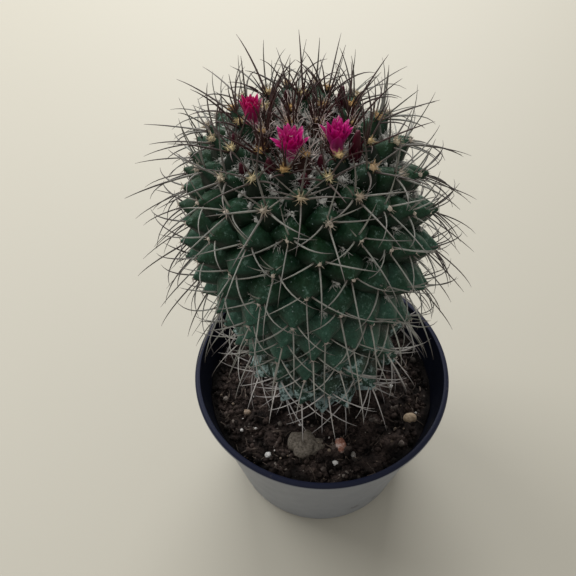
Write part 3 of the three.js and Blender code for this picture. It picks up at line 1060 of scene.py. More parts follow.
@dataclass
class Pot:
    """Turned plastic pot with a rolled rim and drain holes."""

    foot: float = 45
    rim: float = 60
    height: float = 78
    wall: float = 1.3
    floor: float = 1.6
    lift: float = 0.9
    foot_round: float = 1.3
    rim_width: float = 3.2
    rim_depth: float = 3.8
    lip_round: float = 0.5
    # the bead points from lit_from on and the lip points before lit_to get the painted highlight
    lit_from: int = 7
    lit_to: int = 2
    drain_radius: float = 4
    drain_ring: float = 31
    drains: int = 6
    drill_heights: tuple = (-2.0, 5.0)
    around: int = 144

    def outer(self, height: Any) -> Any:
        """Outer radius of the wall at a height."""
        slope = (self.rim - self.rim_width + self.wall - self.foot) / self.height
        return self.foot + slope * height

    def inner(self, height: Any, gap: float = 0.0) -> Any:
        """Inner radius of the wall at a height, less a gap."""
        return self.outer(height) - self.wall - gap

    def profile(self) -> tuple[np.ndarray, np.ndarray, np.ndarray]:
        """Outline from the underside's middle over the rim to the floor's middle.

        Returns:
            (N, 2) radii and heights, (N,) marks of the outer wall and (N,) of the lit bead.
        """
        under = self.height - self.rim_depth
        half = self.rim_depth / 2
        climb = np.linspace(self.floor, under - 0.4, 14)
        fall = np.linspace(self.height - 10, self.floor + 1.5, 10)
        corner = (self.outer(1.2) - self.foot_round, self.foot_round)
        bead = arc((self.rim - half * 0.8, under + half), (half * 0.8, half), -78, 90, 12)
        lip = (self.rim - half * 1.12, self.height - self.lip_round)
        lip = arc(lip, (self.lip_round, self.lip_round), 108, 180, 5)
        middle, ring = 0.05, (12, 24)
        rows = (
            ([(r, self.lift) for r in (middle, *ring, self.foot - 6)], 0, 0),
            ([(self.foot - 4.5, 0.0)], 0, 0),
            (arc(corner, (self.foot_round, self.foot_round), -90, -8, 6), 1, 0),
            (np.stack([self.outer(climb), climb], 1), 1, 0),
            ([(self.outer(under) + 0.15, under)], 1, 0),
            (bead[:self.lit_from], 1, 0),
            (bead[self.lit_from:], 0, 1),
            (lip[:self.lit_to], 0, 1),
            (lip[self.lit_to:], 0, 0),
            (np.stack([self.inner(fall), fall], 1), 0, 0),
            ([(self.inner(self.floor, 1.2), self.floor)], 0, 0),
            ([(r, self.floor) for r in (*ring[::-1], middle)], 0, 0),
        )
        counts = [len(points) for points, _, _ in rows]
        wall, lit = (np.repeat([row[k] for row in rows], counts) for k in (1, 2))
        return np.concatenate([points for points, _, _ in rows]), wall, lit

    def dress(self) -> None:
        """Builds the pot and cuts its drain holes."""
        outline, wall, lit = self.profile()
        grid = turned(outline, self.around)[None]
        # One plastic in two copies: dark for the rim and the inside, grey for the outer wall, whose
        # paler colour is partly painted sheen, the pale floor's reflection in the satin plastic.
        dark = PotFinish("pot_rim", (0.0036, 0.0048, 0.0100), (0.0085, 0.0105, 0.0190), 0.1)
        grey = PotFinish("pot_wall", (0.205, 0.216, 0.238), (0.275, 0.289, 0.316), 0.3, 0.65)
        body = Rings().add(grid, tinted(grid, lit[:, None]), patches=wall[:-1])
        self._drill(body.build(
            "pot_dressed", dark.material(), Slot.POT, "pot", second=grey.material()
        ))

    def _drill(self, made: Any) -> None:
        """Cuts round holes through the pot's floor with a ring of drills.

        Args:
            made: The pot's object.
        """
        azimuth = (np.arange(self.drains) + 0.5) * 2 * np.pi / self.drains
        paths = np.empty((self.drains, 2, 3))
        paths[..., 0] = self.drain_ring * np.cos(azimuth)[:, None]
        paths[..., 1] = self.drain_ring * np.sin(azimuth)[:, None]
        paths[..., 2] = self.drill_heights
        drills = Rings().add(tube(paths, np.full((self.drains, 2), self.drain_radius), 24))
        drill = drills.build("drills", made.data.materials[0], Slot.POT)
        cut = made.modifiers.new("drains", "BOOLEAN")
        cut.operation, cut.solver, cut.object = "DIFFERENCE", "EXACT", drill
        bpy.context.view_layer.update()
        carved = bpy.data.meshes.new_from_object(
            made.evaluated_get(bpy.context.evaluated_depsgraph_get())
        )
        made.modifiers.remove(cut)
        made.data = carved
        bpy.data.objects.remove(drill)


POT = Pot()
SOIL = Soil()


# blooms


@dataclass(frozen=True)
class Flower:
    """One open flower: where it stands, its sizes, how far it opens and how red it is."""

    name: str
    place: float
    reach: float
    opening: float
    petal: float
    upright: float
    red: float


@dataclass(frozen=True)
class Bud:
    """One closed bud."""

    name: str
    place: float
    length: float
    radius: float


@dataclass(frozen=True)
class PetalRing:
    """One ring of petals: their count, and shares of the opening, the length and the width."""

    count: int
    opening: float
    length: float
    width: float


@dataclass
class Blooms:
    """Flowers and buds in a ring round the crown."""

    flowers: tuple = (
        Flower("flower_1", 10.5, 4.8, 16, 9.5, 0.9, 0.5),
        Flower("flower_2", 4.53, 5.2, 32, 9, 0.45, 0.1),
        Flower("flower_3", 6.64, 5.6, 24, 9.5, 0.5, 0.0),
    )
    petal_rings: tuple = (
        PetalRing(8, 0.70, 1.0, 1.0), PetalRing(8, 0.46, 1.0, 1.0),
        PetalRing(7, 0.26, 0.92, 0.95), PetalRing(4, 0.02, 0.8, 0.9),
    )
    buds: tuple = (
        Bud("bud_1", 9.5, 8, 1.9), Bud("bud_2", 12.5, 8.5, 2.1), Bud("bud_3", 14.5, 15, 2.1),
        Bud("bud_4", 15.5, 7.5, 1.8), Bud("bud_5", 16.5, 11, 2.2), Bud("bud_6", 17.5, 8, 2.1),
        Bud("bud_7", 20.5, 7, 1.8), Bud("bud_8", 13.5, 8, 1.9), Bud("bud_9", 18.5, 8, 1.9),
    )
    bud_upright: float = 0.5
    scale_rings: int = 3
    scales: int = 6
    sink: float = 2.5
    tube_radius: float = 2.2
    half_width: float = 2.0
    petal_sink: float = 1.2
    petal_depth: float = 0.22
    petal_curl: float = 0.28
    keel: float = 0.25
    keel_width: float = 0.35
    arch: float = 0.55
    stamens: int = 34
    stamen_turn: float = 2.4
    stamen_shares: tuple = (0, 0.5, 0.92, 0.96, 1.0)
    stamen_radii: tuple = (0.11, 0.1, 0.1, 0.32, 0.22)

    def stand(self, place: float, upright: float) -> tuple[np.ndarray, np.ndarray]:
        """Start and course of a bloom: the skin's normal, tilted towards the vertical.

        Args:
            place: Its place on the spiral.
            upright: How much it is tilted.

        Returns:
            (3,) start and (3,) course.
        """
        spot = SPIRAL.at([place])
        course = unit(spot.normal + upright * UP)[0]
        return (spot.tip - spot.normal * spot.length[:, None])[0], course

    def balls(self) -> tuple[np.ndarray, np.ndarray]:
        """Balls that spines keep out of: a chain along each bud and each flower.

        Returns:
            (N, 3) centres and (N,) radii.
        """
        centres, radii = [], []
        for bud in self.buds:
            start, course = self.stand(bud.place, self.bud_upright)
            along = np.arange(0, bud.length + 1e-9, bud.radius)
            centres.append(carried(start, course, along))
            radii.append(np.full(len(along), bud.radius))
        share = np.linspace(0, 1, 5)
        for flower in self.flowers:
            start, course = self.stand(flower.place, flower.upright)
            spread = flower.petal * math.sin(math.radians(flower.opening)) + 1.15
            rise = flower.petal * math.cos(math.radians(flower.opening))
            centres.append(carried(start, course, share * flower.reach))
            radii.append(np.full(5, self.tube_radius))
            centres.append(carried(start, course, flower.reach + share * rise))
            radii.append(self.tube_radius + share * spread)
        return np.concatenate(centres), np.concatenate(radii)

    def petals(
        self, centre: np.ndarray, course: np.ndarray, turns: np.ndarray, openings: np.ndarray,
        lengths: np.ndarray, half_width: float, foot: float,
    ) -> tuple[np.ndarray, np.ndarray]:
        """Pointed, keeled petals in a ring.

        A petal's midline leaves the mouth at its opening angle, which grows along it. Its half
        width is sin(pi v^0.75) raised to 0.8, for v from 0.12 to 0.985, and its section is a
        thin lens whose edges curl up by the square of the distance across.

        Args:
            centre: Middle of the mouth.
            course: The bloom's axis.
            turns: (M,) turns about the axis.
            openings: (M,) opening angles in degrees.
            lengths: (M,) lengths in mm.
            half_width: Greatest half width in mm.
            foot: Radius of the ring of petal feet in mm.

        Returns:
            (M, S, 8, 3) points and the matching tints.
        """
        outward = spokes(course, turns)
        sideways = np.cross(course, outward)
        u = np.linspace(0, 1, 9)
        angle = np.radians(openings[:, None] * (1 + self.arch * (u - 0.5)))
        reach = lengths[:, None] * u
        middle = carried(centre, outward[:, None], foot + np.sin(angle) * reach)
        middle = carried(middle, course, np.cos(angle) * reach - self.petal_sink)
        face = np.cross(unit(np.gradient(middle, axis=1)), sideways[:, None])
        width = (np.sin(np.pi * (0.12 + 0.865 * u) ** 0.75) ** 0.8)[:, None]
        cos, sin = circle(8).T
        across = half_width * width * cos
        lens = self.petal_depth * width * sin + self.petal_curl * across**2 / half_width
        keel = self.keel * width * np.exp(-((across / self.keel_width) ** 2))
        grid = carried(middle[:, :, None], sideways[:, None, None], across)
        grid = carried(grid, face[:, :, None], lens - keel)
        return grid, tinted(grid, u[:, None], np.abs(cos))

    def dress(self) -> None:
        """Builds every flower with its tube, petals and stamens, and every bud."""
        petal, bud_skin = PetalFinish().material(), BudFinish().material()
        pollen = StoneFinish(
            "pollen", ((0.75, 0.48, 0.10), (0.80, 0.60, 0.22), (0.85, 0.72, 0.40)), 0.5
        ).material()
        stamens = Rings()
        for flower in self.flowers:
            body = self._flower(flower, stamens)
            body.build(flower.name + "_open", petal, Slot.FLOWER, flower.name)
        stamens.build("stamens", pollen, Slot.FLOWER)
        for bud in self.buds:
            self._bud(bud).build(bud.name + "_closed", bud_skin, Slot.BUD, bud.name)

    def _flower(self, flower: Flower, stamens: Rings) -> Rings:
        """One flower: a waisted tube and its rings of petals.

        Args:
            flower: The flower.
            stamens: Gets its stamens.

        Returns:
            The gathered surfaces.
        """
        start, course = self.stand(flower.place, flower.upright)
        share = np.linspace(0, 1, 9)
        path = carried(start, course, -self.sink + (flower.reach + self.sink) * share)
        radius = self.tube_radius * (0.72 + 0.28 * smooth(0, 0.7, share) - 0.12 * (share > 0.99))
        body = Rings().add(tube(path[None], radius[None], 16), (0.1, 0.8, flower.red, 0.0))
        mouth = start + course * flower.reach
        for ring, row in enumerate(self.petal_rings):
            number = np.arange(row.count)
            turns = 2 * np.pi * (number + 0.5 * ring) / row.count
            turns = turns + 0.15 * sway(number, flower.place)
            openings = flower.opening * row.opening
            openings = openings * (1 + 0.22 * sway(flower.place + ring, number))
            lengths = flower.petal * row.length
            lengths = lengths * (1 + 0.08 * sway(number, flower.place + 1 + ring))
            grid, tint = self.petals(
                mouth, course, turns, openings, lengths, self.half_width * row.width,
                self.tube_radius * (0.6 - 0.12 * ring),
            )
            tint[..., 2] = flower.red
            body.add(grid, tint)
        stamens.add(self._stamens(mouth, course, flower.petal))
        return body

    def _stamens(self, mouth: np.ndarray, course: np.ndarray, petal: float) -> np.ndarray:
        """Threads with thicker heads that rise from a flower's mouth.

        Args:
            mouth: Middle of the mouth.
            course: The flower's axis.
            petal: Length of its petals in mm.

        Returns:
            (M, S, 5, 3) points.
        """
        number = np.arange(self.stamens)
        aside = spokes(course, number * self.stamen_turn)
        spread = 0.9 * np.sqrt(draw(number, 3.0)) * self.tube_radius
        base = carried(mouth, aside, 0.5 * spread)
        top = carried(mouth, aside, spread)
        top = carried(top, course, petal * (0.30 + 0.12 * draw(number, 5.0)))
        path = base[:, None] + (top - base)[:, None] * np.array(self.stamen_shares)[:, None]
        return tube(path, np.broadcast_to(self.stamen_radii, path.shape[:2]), 5)

    def _bud(self, bud: Bud) -> Rings:
        """One bud: a pointed core under rings of closed scales.

        Args:
            bud: The bud.

        Returns:
            The gathered surfaces.
        """
        start, course = self.stand(bud.place, self.bud_upright)
        share = np.linspace(0, 1, 12)
        path = carried(start, course, -self.sink + (bud.length + self.sink) * share)
        radius = bud.radius * (0.12 + 0.72 * np.sin(np.pi * (0.16 + 0.80 * share)) ** 0.7)
        core = tube(path[None], radius[None], 14)
        body = Rings().add(core, tinted(core, share[:, None]))
        for ring in range(self.scale_rings):
            body.add(*self.petals(
                start + course * (bud.length * (0.12 + 0.17 * ring)), course,
                2 * np.pi * (np.arange(self.scales) + 0.5 * ring) / self.scales,
                np.full(self.scales, 5.0 - 5 * ring),
                np.full(self.scales, bud.length * (0.66 - 0.06 * ring)),
                bud.radius * 0.48, bud.radius * (0.66 - 0.12 * ring),
            ))
        return body


BLOOMS = Blooms()


# the plant


@dataclass
class Tubercles:
    """Stem and its spiral of four-sided pointed tubercles, in one piece."""

    half_width: float = 0.66
    half_height: float = 0.62
    root: float = 3.0
    tip_radius: float = 0.5
    unevenness: float = 0.4
    patch: float = 3.6
    russet_places: tuple = (12, 5)
    stations: int = 11
    around: int = 24
    buried: tuple = ((12.5, -4), (11.5, -16), (7, -24), (0.05, -26))

    def surfaces(self, f: Frames) -> tuple[np.ndarray, np.ndarray]:
        """One ringed cone per tubercle.

        Its half width at a depth is a share of the depth, with faces that bulge a little. A
        ring is a superellipse, |x/a|^q + |y/b|^q = 1, whose q goes from 1.5 under the tip to
        1.14 at the root, so that the ridges sharpen downwards.

        Args:
            f: The tubercles' frames.

        Returns:
            (M, S, R, 3) points and the matching tints.
        """
        t = np.linspace(0, 1, self.stations) ** 1.25
        q = (1.50 - 0.36 * smooth(0, 0.8, t))[:, None]
        cos, sin = circle(self.around).T
        ring = (np.abs(cos) ** q + np.abs(sin) ** q) ** (-1 / q)
        depth = (f.length + self.root)[:, None] * t
        share = depth / f.length[:, None]
        arch = np.sin(np.pi * np.clip(share, 0, 1))
        bulge = share**1.12 + 0.10 * arch**1.8
        wide, high = (
            self.tip_radius + (half * f.spacing[:, None] - self.tip_radius) * bulge
            for half in (self.half_width, self.half_height)
        )
        each = draw(f.place, 31.0)
        droop = 0.6 * arch * (each[:, None] - 0.3)
        side, up, normal = (axis[:, None, None] for axis in (f.side, f.up, f.normal))
        grid = carried(f.tip[:, None, None], -normal, depth[..., None])
        grid = carried(grid, side, wide[..., None] * ring * cos)
        grid = carried(grid, up, high[..., None] * ring * sin + droop[..., None])
        grid = carried(grid, normal, self.unevenness * rough(grid, self.patch, 4))
        height = f.height / SPIRAL.outline[0][1] + 0.5 * smooth(*self.russet_places, f.place)
        # The first channel, depth under the tip, drives the skin's painted shade in the creases; the
        # second, height, also its painted shade low on the plant; the last, how far a face looks up,
        # its painted light and shade and its veil of dust and painted sheen.
        return grid, tinted(
            grid, np.clip(share, 0, 1)[..., None], height[:, None, None], each[:, None, None],
            smooth(-0.5, 0.9, sin),
        )

    def stem(self) -> np.ndarray:
        """Turned stem: the tip outline set back by the tubercles' length, then the buried end.

        Returns:
            (1, S, R, 3) points.
        """
        spot = np.arange(40, SPIRAL.steps, 60)
        inset = SPIRAL.tubercle_length * SPIRAL.spacing[spot]
        radius = SPIRAL.radius[spot] + SPIRAL.heading[spot, 1] * inset
        height = SPIRAL.rise[spot] - SPIRAL.heading[spot, 0] * inset
        skin = np.stack([radius, height], 1)[radius > 1]
        top = (self.buried[-1][0], skin[0, 1] + 0.1)
        radius, height = np.concatenate([[top], skin, self.buried]).T
        rings = turned(np.stack([radius, np.zeros_like(radius)], 1), 48)
        return (rings + SPIRAL.axis(height)[:, None])[None]

    def dress(self) -> None:
        """Builds the skin."""
        # The stem core, seen only deep in the axils, takes depth 1 and faces down: full painted
        # shade.
        body = Rings().add(self.stem(), (1.0, 0.3, 0.4, 0.0))
        body.add(*self.surfaces(SPIRAL.tubercles()))
        body.build("cactus_skin", SkinFinish().material(), Slot.CACTUS, "cactus")


@dataclass(frozen=True)
class SpineKind:
    """One kind of spine: its course on an areole's axes, its length, its arc and who has it.

    All tubercles before place `whole` have it, and up to place `last` a share of `chance`. It
    is a share of `aged` as long from place `aging` on, and starts at a share of `youth` in the
    crown. `stunted` is what the lowest ones lack.
    """

    side: float
    up: float
    out: float
    length: float
    arc: float
    youth: float = 1.0
    stunted: float = 0.0
    whole: float = math.inf
    last: float = math.inf
    chance: float = 0.0
    aging: float = math.inf
    aged: float = 1.0
    thick: float = 1.0

    def worn(self, place: np.ndarray, number: int) -> np.ndarray:
        """Whether each place has the kind of this number."""
        drawn = (place < self.last) & (draw(place, number + 80) < self.chance)
        return (place < self.whole) | drawn


@dataclass
class Spines:
    """Spines on every areole: long ones down, arcs to both sides, short ones up."""

    kinds: tuple = (
        SpineKind(0.0, -0.85, 0.75, 25, 0.07, youth=0.8, stunted=0.38),
        SpineKind(0.95, -0.2, 0.5, 18, 0.13, youth=0.8),
        SpineKind(-0.95, -0.2, 0.5, 18, 0.13, youth=0.8),
        SpineKind(0.0, 0.8, 0.75, 19, 0.06, whole=60, chance=0.22, aging=60, aged=14 / 19),
        *(
            SpineKind(side, up, out, 14, arc, whole=20, chance=0.1, aging=40, aged=0.75, thick=0.8)
            for side, up, out, arc in (
                (0.75, 0.35, 0.6, 0.10), (-0.8, 0.3, 0.6, 0.10),
                (0.4, 0.75, 0.7, 0.08), (-0.45, 0.7, 0.7, 0.08),
            )
        ),
        *(
            SpineKind(
                side, up, 0.9, 18, 0.10, whole=22, last=44, chance=0.75, aging=40, aged=0.75,
                thick=0.8,
            ) for side, up in ((0.7, 0.45), (-0.65, 0.5))
        ),
    )
    grown_count: float = 60
    trimmed: float = 0.12
    trimmed_places: tuple = (34, 22)
    stunted_heights: tuple = (36, 18)
    spread: float = 14
    sway: float = 0.35
    clearance: float = 0.8
    bend_steps: int = 6
    low_height: float = 45
    crown_share: float = 0.35
    crown_places: float = 45
    arched_heights: tuple = (35, 70)
    aged_places: tuple = (10, 50)
    faded_heights: tuple = (85, 40)
    # painted shade on spines at either side of the plant: where it sets in, and how height shapes it
    flank_shade: tuple = (36, 48)
    flank_heights: tuple = (30, 50)
    flank_inward: float = 15
    root: float = 2.4
    radius: float = 0.282
    crown_count: float = 40
    crown_thick: float = 1.26
    stations: int = 8
    around: int = 5

    def __post_init__(self) -> None:
        """Takes the tubercles' frames, the shares of the length and the blooms' balls."""
        self.frames, self.u = SPIRAL.tubercles(), np.linspace(0, 1, self.stations)
        self.centres, self.radii = BLOOMS.balls()

    def _lengths(self, kind: SpineKind, number: int) -> np.ndarray:
        """Lengths of one kind of spine on every tubercle.

        Args:
            kind: The kind of spine.
            number: Its number, for the draws.

        Returns:
            (M,) lengths in mm.
        """
        f = self.frames
        length = kind.length * np.where(f.place < kind.aging, 1.0, kind.aged)
        length = length * np.minimum(1, kind.youth + f.place / self.grown_count)
        length = length * (1 + 0.3 * (draw(number, f.place) - 0.6))
        length = length * (1 - kind.stunted * smooth(*self.stunted_heights, f.height))
        return length * (1 - self.trimmed * smooth(*self.trimmed_places, f.place))

    def _course(self, kind: SpineKind, number: int, bend: float) -> np.ndarray:
        """Unit courses of one kind of spine, bent towards where there is room.

        Args:
            kind: The kind of spine.
            number: Its number, for the draws.
            bend: Share of the way towards the open, 0..1.

        Returns:
            (M, 3) courses.
        """
        f = self.frames
        crown = np.minimum(1, self.crown_share + f.place / self.crown_places)[:, None]
        course = unit(f.lean * kind.out + f.side * crown * kind.side + f.up * crown * kind.up)
        escape = np.where(f.height[:, None] > self.low_height, f.lean, f.radial + 0.3 * UP)
        course = unit(course * (1 - bend) + escape * bend)
        angle = np.radians(self.spread * sway(f.place, number + 7))
        return turn_about(course, f.lean, angle)

    def _clear(self, paths: np.ndarray) -> np.ndarray:
        """Whether each path keeps off the soil, the pot's wall and the blooms.

        Args:
            paths: (M, S, 3) points, whose first two may lie in the way.

        Returns:
            (M,) marks.
        """
        spots = paths[:, 2:]
        x, y, z = np.moveaxis(spots, -1, 0)
        ok = z > SOIL.height(x, y) + 1.2 * self.clearance
        inside = np.hypot(x, y) < POT.inner(z, self.clearance)
        ok &= inside | (z > POT.height + 2 * self.clearance)
        apart = np.linalg.norm(spots[:, :, None] - self.centres, axis=-1)
        ok &= np.all(apart > self.radii + self.clearance, axis=-1)
        return ok.all(axis=1)

    def _paths(self, kind: SpineKind, number: int) -> tuple[np.ndarray, np.ndarray]:
        """Arcs of one kind, each bent in steps until it clears what stands in its way.

        A path is its root, plus its course times u times the length, plus its lift times
        4u (1 - u) times a share of the length.

        Args:
            kind: The kind of spine.
            number: Its number, for the draws.

        Returns:
            (M, S, 3) points, and (M,) whether a clear path was found.
        """
        f, u = self.frames, self.u
        length = self._lengths(kind, number)
        root = f.tip - f.lean * self.root + f.side * kind.side + f.up * kind.up
        lift = carried(f.lean, f.side, self.sway * sway(f.place, number + 50))
        lift = carried(lift, f.up, self.sway * sway(f.place, number + 60))
        strength = kind.arc * (0.6 + 0.8 * draw(f.place, number + 70))
        strength *= 0.45 + 0.55 * smooth(*self.arched_heights, f.height)
        arch = (length * strength)[:, None] * 4 * u * (1 - u)
        paths = np.full((len(length), len(u), 3), np.nan)
        kept = np.zeros(len(length), bool)
        for step in range(self.bend_steps):
            course = self._course(kind, number, step / self.bend_steps)
            trial = carried(root[:, None], course[:, None], length[:, None] * u)
            trial = carried(trial, lift[:, None], arch)
            good = self._clear(trial) & ~kept
            paths[good] = trial[good]
            kept |= good
        return paths, kept

    def _tint(self, finish: SpineFinish, number: int, paths: np.ndarray) -> np.ndarray:
        """Colours along one kind of spine, with painted shade where it stands out at either side of
        the plant.

        Args:
            finish: The spines' finish.
            number: The kind's number, for the draws.
            paths: (M, S, 3) points.

        Returns:
            (M, S, 1, 4) colours.
        """
        f = self.frames
        age = smooth(*self.aged_places, f.place) * (0.8 + 0.2 * draw(f.place, number + 90))
        low = smooth(*self.faded_heights, f.height)
        colour = finish.colour(self.u, age, low, draw(f.place, number + 95))
        # Painted shade: spines darken where they stand out towards either side of the plant, by an
        # amount that changes with height.
        aside = np.abs(paths[..., 0] - SPIRAL.axis(f.height)[:, None, 0])
        higher = smooth(*self.flank_heights, f.height)[:, None]
        aside = aside + self.flank_inward * (1 - higher)
        flank_shade = smooth(*self.flank_shade, aside) * (0.62 + 0.34 * higher)
        return opaque(blend(colour, finish.outer, flank_shade[..., None]))[:, :, None]

    def dress(self) -> None:
        """Builds all spines in one piece."""
        f, finish, body = self.frames, SpineFinish(), Rings()
        crown = np.where(f.place < self.crown_count, self.crown_thick, 1.0)
        for number, kind in enumerate(self.kinds):
            paths, kept = self._paths(kind, number)
            kept &= kind.worn(f.place, number)
            thick = self.radius * kind.thick * (0.85 + 0.3 * draw(f.place, number)) * crown
            radius = thick[:, None] * (1 - self.u**1.8 * 0.84)
            tint = self._tint(finish, number, paths)
            body.add(tube(paths[kept], radius[kept], self.around), tint[kept])
        body.build("spines", finish.material(), Slot.CACTUS)


@dataclass(frozen=True)
class Tuft:
    """One kind of tuft: its size and the size of its tangled middle, and its fibres."""

    size: float
    many: int
    seed: int
    core: float = 1.0
    thick: float = 0.1


@dataclass
class Wool:
    """Areole cushions with their short bristles, and wool in the axils and the crown."""

    cushion: float = 1.05
    bristle_count: int = 7
    grown_place: float = 45
    thick_until: float = 38
    tufted_until: float = 42
    side_until: float = 38
    crown_until: float = 10
    middle_places: tuple = (14, 40)
    old_places: tuple = (60, 110)
    small_places: tuple = (28, 60)
    young: tuple = (0.68, 0.57, 0.31)
    orange: tuple = (0.58, 0.37, 0.145)
    middle: tuple = (0.54, 0.47, 0.39)
    old: tuple = (0.42, 0.37, 0.33)
    white: tuple = (0.68, 0.68, 0.64)
    crown: tuple = (1.0, 0.88, 0.82)
    areole_tuft: Tuft = Tuft(2.0, 26, 9)
    axil_tufts: tuple = (
        (0, 46, 0.8, Tuft(3.2, 44, 1, 0.75)),
        (46, 110, 0.6, Tuft(2.6, 30, 47, 0.75)),
        (110, 999, 0.25, Tuft(2.4, 26, 111, 0.75)),
    )
    side_tufts: tuple = (Tuft(3.0, 30, 2), Tuft(3.0, 30, 3))
    crown_tuft: Tuft = Tuft(5.5, 44, 7, 0.25, 0.12)

    def __post_init__(self) -> None:
        """Takes the tubercles' frames."""
        self.frames = SPIRAL.tubercles()

    def colour(self, place: np.ndarray) -> np.ndarray:
        """Areole colour by age: cream or orange, pinkish brown, then grey white.

        Args:
            place: (M,) places on the spiral.

        Returns:
            (M, 4) colours.
        """
        warm = smooth(0.35, 0.75, draw(place, 17.0))[:, None]
        colour = blend(self.young, self.orange, warm)
        colour = blend(colour, self.middle, smooth(*self.middle_places, place)[:, None])
        return opaque(blend(colour, self.old, smooth(*self.old_places, place)[:, None]))

    def bristles(self, body: Rings) -> None:
        """Adds short radials that stand round each areole like a star.

        Args:
            body: Gets the surfaces.
        """
        f, u = self.frames, np.linspace(0, 1, 4)
        young = f.place < self.grown_place
        thick = np.where(f.place < self.thick_until, 0.22, 0.13)
        radius = thick[:, None] * (1 - 0.8 * u**1.3)
        tint = self.colour(f.place)[:, None, None] * (1.1 - 0.35 * u)[:, None, None]
        for number in range(self.bristle_count):
            kept = young | (draw(f.place, number + 11) < 0.5)
            turn = 2 * np.pi * (number + 0.35 * sway(f.place, number)) / self.bristle_count
            aside = carried(carried(0, f.side, np.cos(turn)), f.up, np.sin(turn))
            course = unit(aside + f.lean * 0.55)
            length = (1.4 + 1.3 * draw(f.place, number + 3)) * np.where(young, 1.0, 0.8)
            root = (f.tip + aside * 0.5)[:, None]
            path = carried(root, course[:, None], length[:, None] * u)
            body.add(tube(path[kept], radius[kept], 4), tint[kept])

    def tufts(
        self, roots: np.ndarray, outs: np.ndarray, colour: np.ndarray, kind: Tuft, body: Rings
    ) -> None:
        """Adds tangled fibres that curl out of each root, and lumps that fill its middle.

        A fibre's course is its outward direction plus a random one, and a second random
        direction bends it by the square of the share along.

        Args:
            roots: (M, 3) middles of the tufts.
            outs: (M, 3) outward directions.
            colour: (M, 4) colours, or one for all.
            kind: The kind of tuft.
            body: Gets the surfaces.
        """
        colour = np.broadcast_to(colour, (len(roots), 4))
        number = np.arange(len(roots) * kind.many) + kind.seed * 1000
        owner = np.repeat(np.arange(len(roots)), kind.many)
        chance = sway(number[:, None], (1.5, 2.5, 3.5))
        bend = sway(number[:, None], (4.5, 5.5, 6.5))
        course = unit(outs[owner] * 0.75 + chance)
        length = 0.5 * kind.size * (0.5 + draw(number, 7.5))
        start = roots[owner] + unit(chance) * (0.42 * kind.size)
        u = np.linspace(0, 1, 4)
        path = start[:, None] + length[:, None, None] * (
            course[:, None] * u[:, None] + bend[:, None] * 0.9 * u[:, None] ** 2
        )
        radius = np.broadcast_to(kind.thick * (1 - 0.6 * u), path.shape[:2])
        tint = colour[owner] * (0.75 + 0.35 * draw(number, 8.5))[:, None]
        body.add(tube(path, radius, 3), tint[:, None, None])
        owner = np.repeat(np.arange(len(roots)), 4)
        each = np.arange(len(owner))
        core = kind.core * kind.size
        sizes = core * np.array([0.30, 0.24, 0.22]) * (0.6 + 0.8 * draw(each, kind.seed))[:, None]
        spots = unit(sway(each[:, None], kind.seed + np.array([0.1, 0.2, 0.3])))
        spots = roots[owner] + spots * (0.36 * core)
        turns = 6.0 * draw(each, kind.seed + 0.4)
        tint = colour[owner] * (0.8 + 0.3 * draw(each, 9.5))[:, None]
        body.add(lumps(spots, sizes, turns, 6, 9, 0.55, kind.seed, 0.5), tint[:, None, None])

    def _collar(
        self, stand: tuple[np.ndarray, np.ndarray], radius: float, number: int, wool: Rings
    ) -> None:
        """Adds a ring of six tufts round the foot of a bloom.

        Args:
            stand: The bloom's start and course.
            radius: Its radius in mm.
            number: Its number, for the draws.
            wool: Gets the surfaces.
        """
        start, course = stand
        aside = spokes(course, (np.arange(6) + 0.4 * draw(number, 3.0)) * np.pi / 3)
        spots = start + course * 3.4 + aside * (radius + 0.7)
        tuft = Tuft(2.4, 26, 40 + number, 0.7)
        self.tufts(spots, unit(aside + course), opaque(self.white) * 0.95, tuft, wool)

    def _areoles(self) -> Rings:
        """Cushions of all areoles, their bristles, and tufts on the younger ones.

        Returns:
            The gathered surfaces.
        """
        f = self.frames
        size = self.cushion * (1.0 - 0.35 * smooth(*self.small_places, f.place))
        sizes = size[:, None] * np.array([1.0, 1.0, 0.8])
        pads = lumps(f.tip - f.lean * 0.3, sizes, np.zeros(len(size)), 5, 8, 0.35, 5)
        body = Rings().add(pads, self.colour(f.place)[:, None, None])
        self.bristles(body)
        young = f.where(f.place < self.tufted_until)
        self.tufts(young.tip, young.lean, self.colour(young.place), self.areole_tuft, body)
        return body

    def _axils(self) -> Rings:
        """Wool above the tubercles by age, and on both sides of the youngest.

        Returns:
            The gathered surfaces.
        """
        f, body, white = self.frames, Rings(), opaque(self.white)
        for first, last, chance, tuft in self.axil_tufts:
            g = f.where((f.place >= first) & (f.place < last) & (draw(f.place, 61) < chance))
            root = carried(carried(g.tip, -g.normal, 0.72 * g.length), g.up, 0.60 * g.spacing)
            self.tufts(root, g.normal, white, tuft, body)
        g = f.where(f.place < self.side_until)
        for aside, tuft in zip((g.side, -g.side), self.side_tufts):
            root = carried(carried(g.tip, -g.normal, 0.80 * g.length), aside, 0.5 * g.spacing)
            self.tufts(root, g.normal, white * 0.85, tuft, body)
        return body

    def _crown(self) -> Rings:
        """Wool round the blooms and over the youngest tubercles.

        Returns:
            The gathered surfaces.
        """
        body = Rings()
        for number, bud in enumerate(BLOOMS.buds):
            stand = BLOOMS.stand(bud.place, BLOOMS.bud_upright)
            self._collar(stand, bud.radius, number, body)
        for number, flower in enumerate(BLOOMS.flowers, 20):
            stand = BLOOMS.stand(flower.place, flower.upright)
            self._collar(stand, BLOOMS.tube_radius, number, body)
        g = self.frames.where(self.frames.place < self.crown_until)
        self.tufts(g.tip - g.lean, g.lean * 2.2, opaque(self.crown), self.crown_tuft, body)
        return body

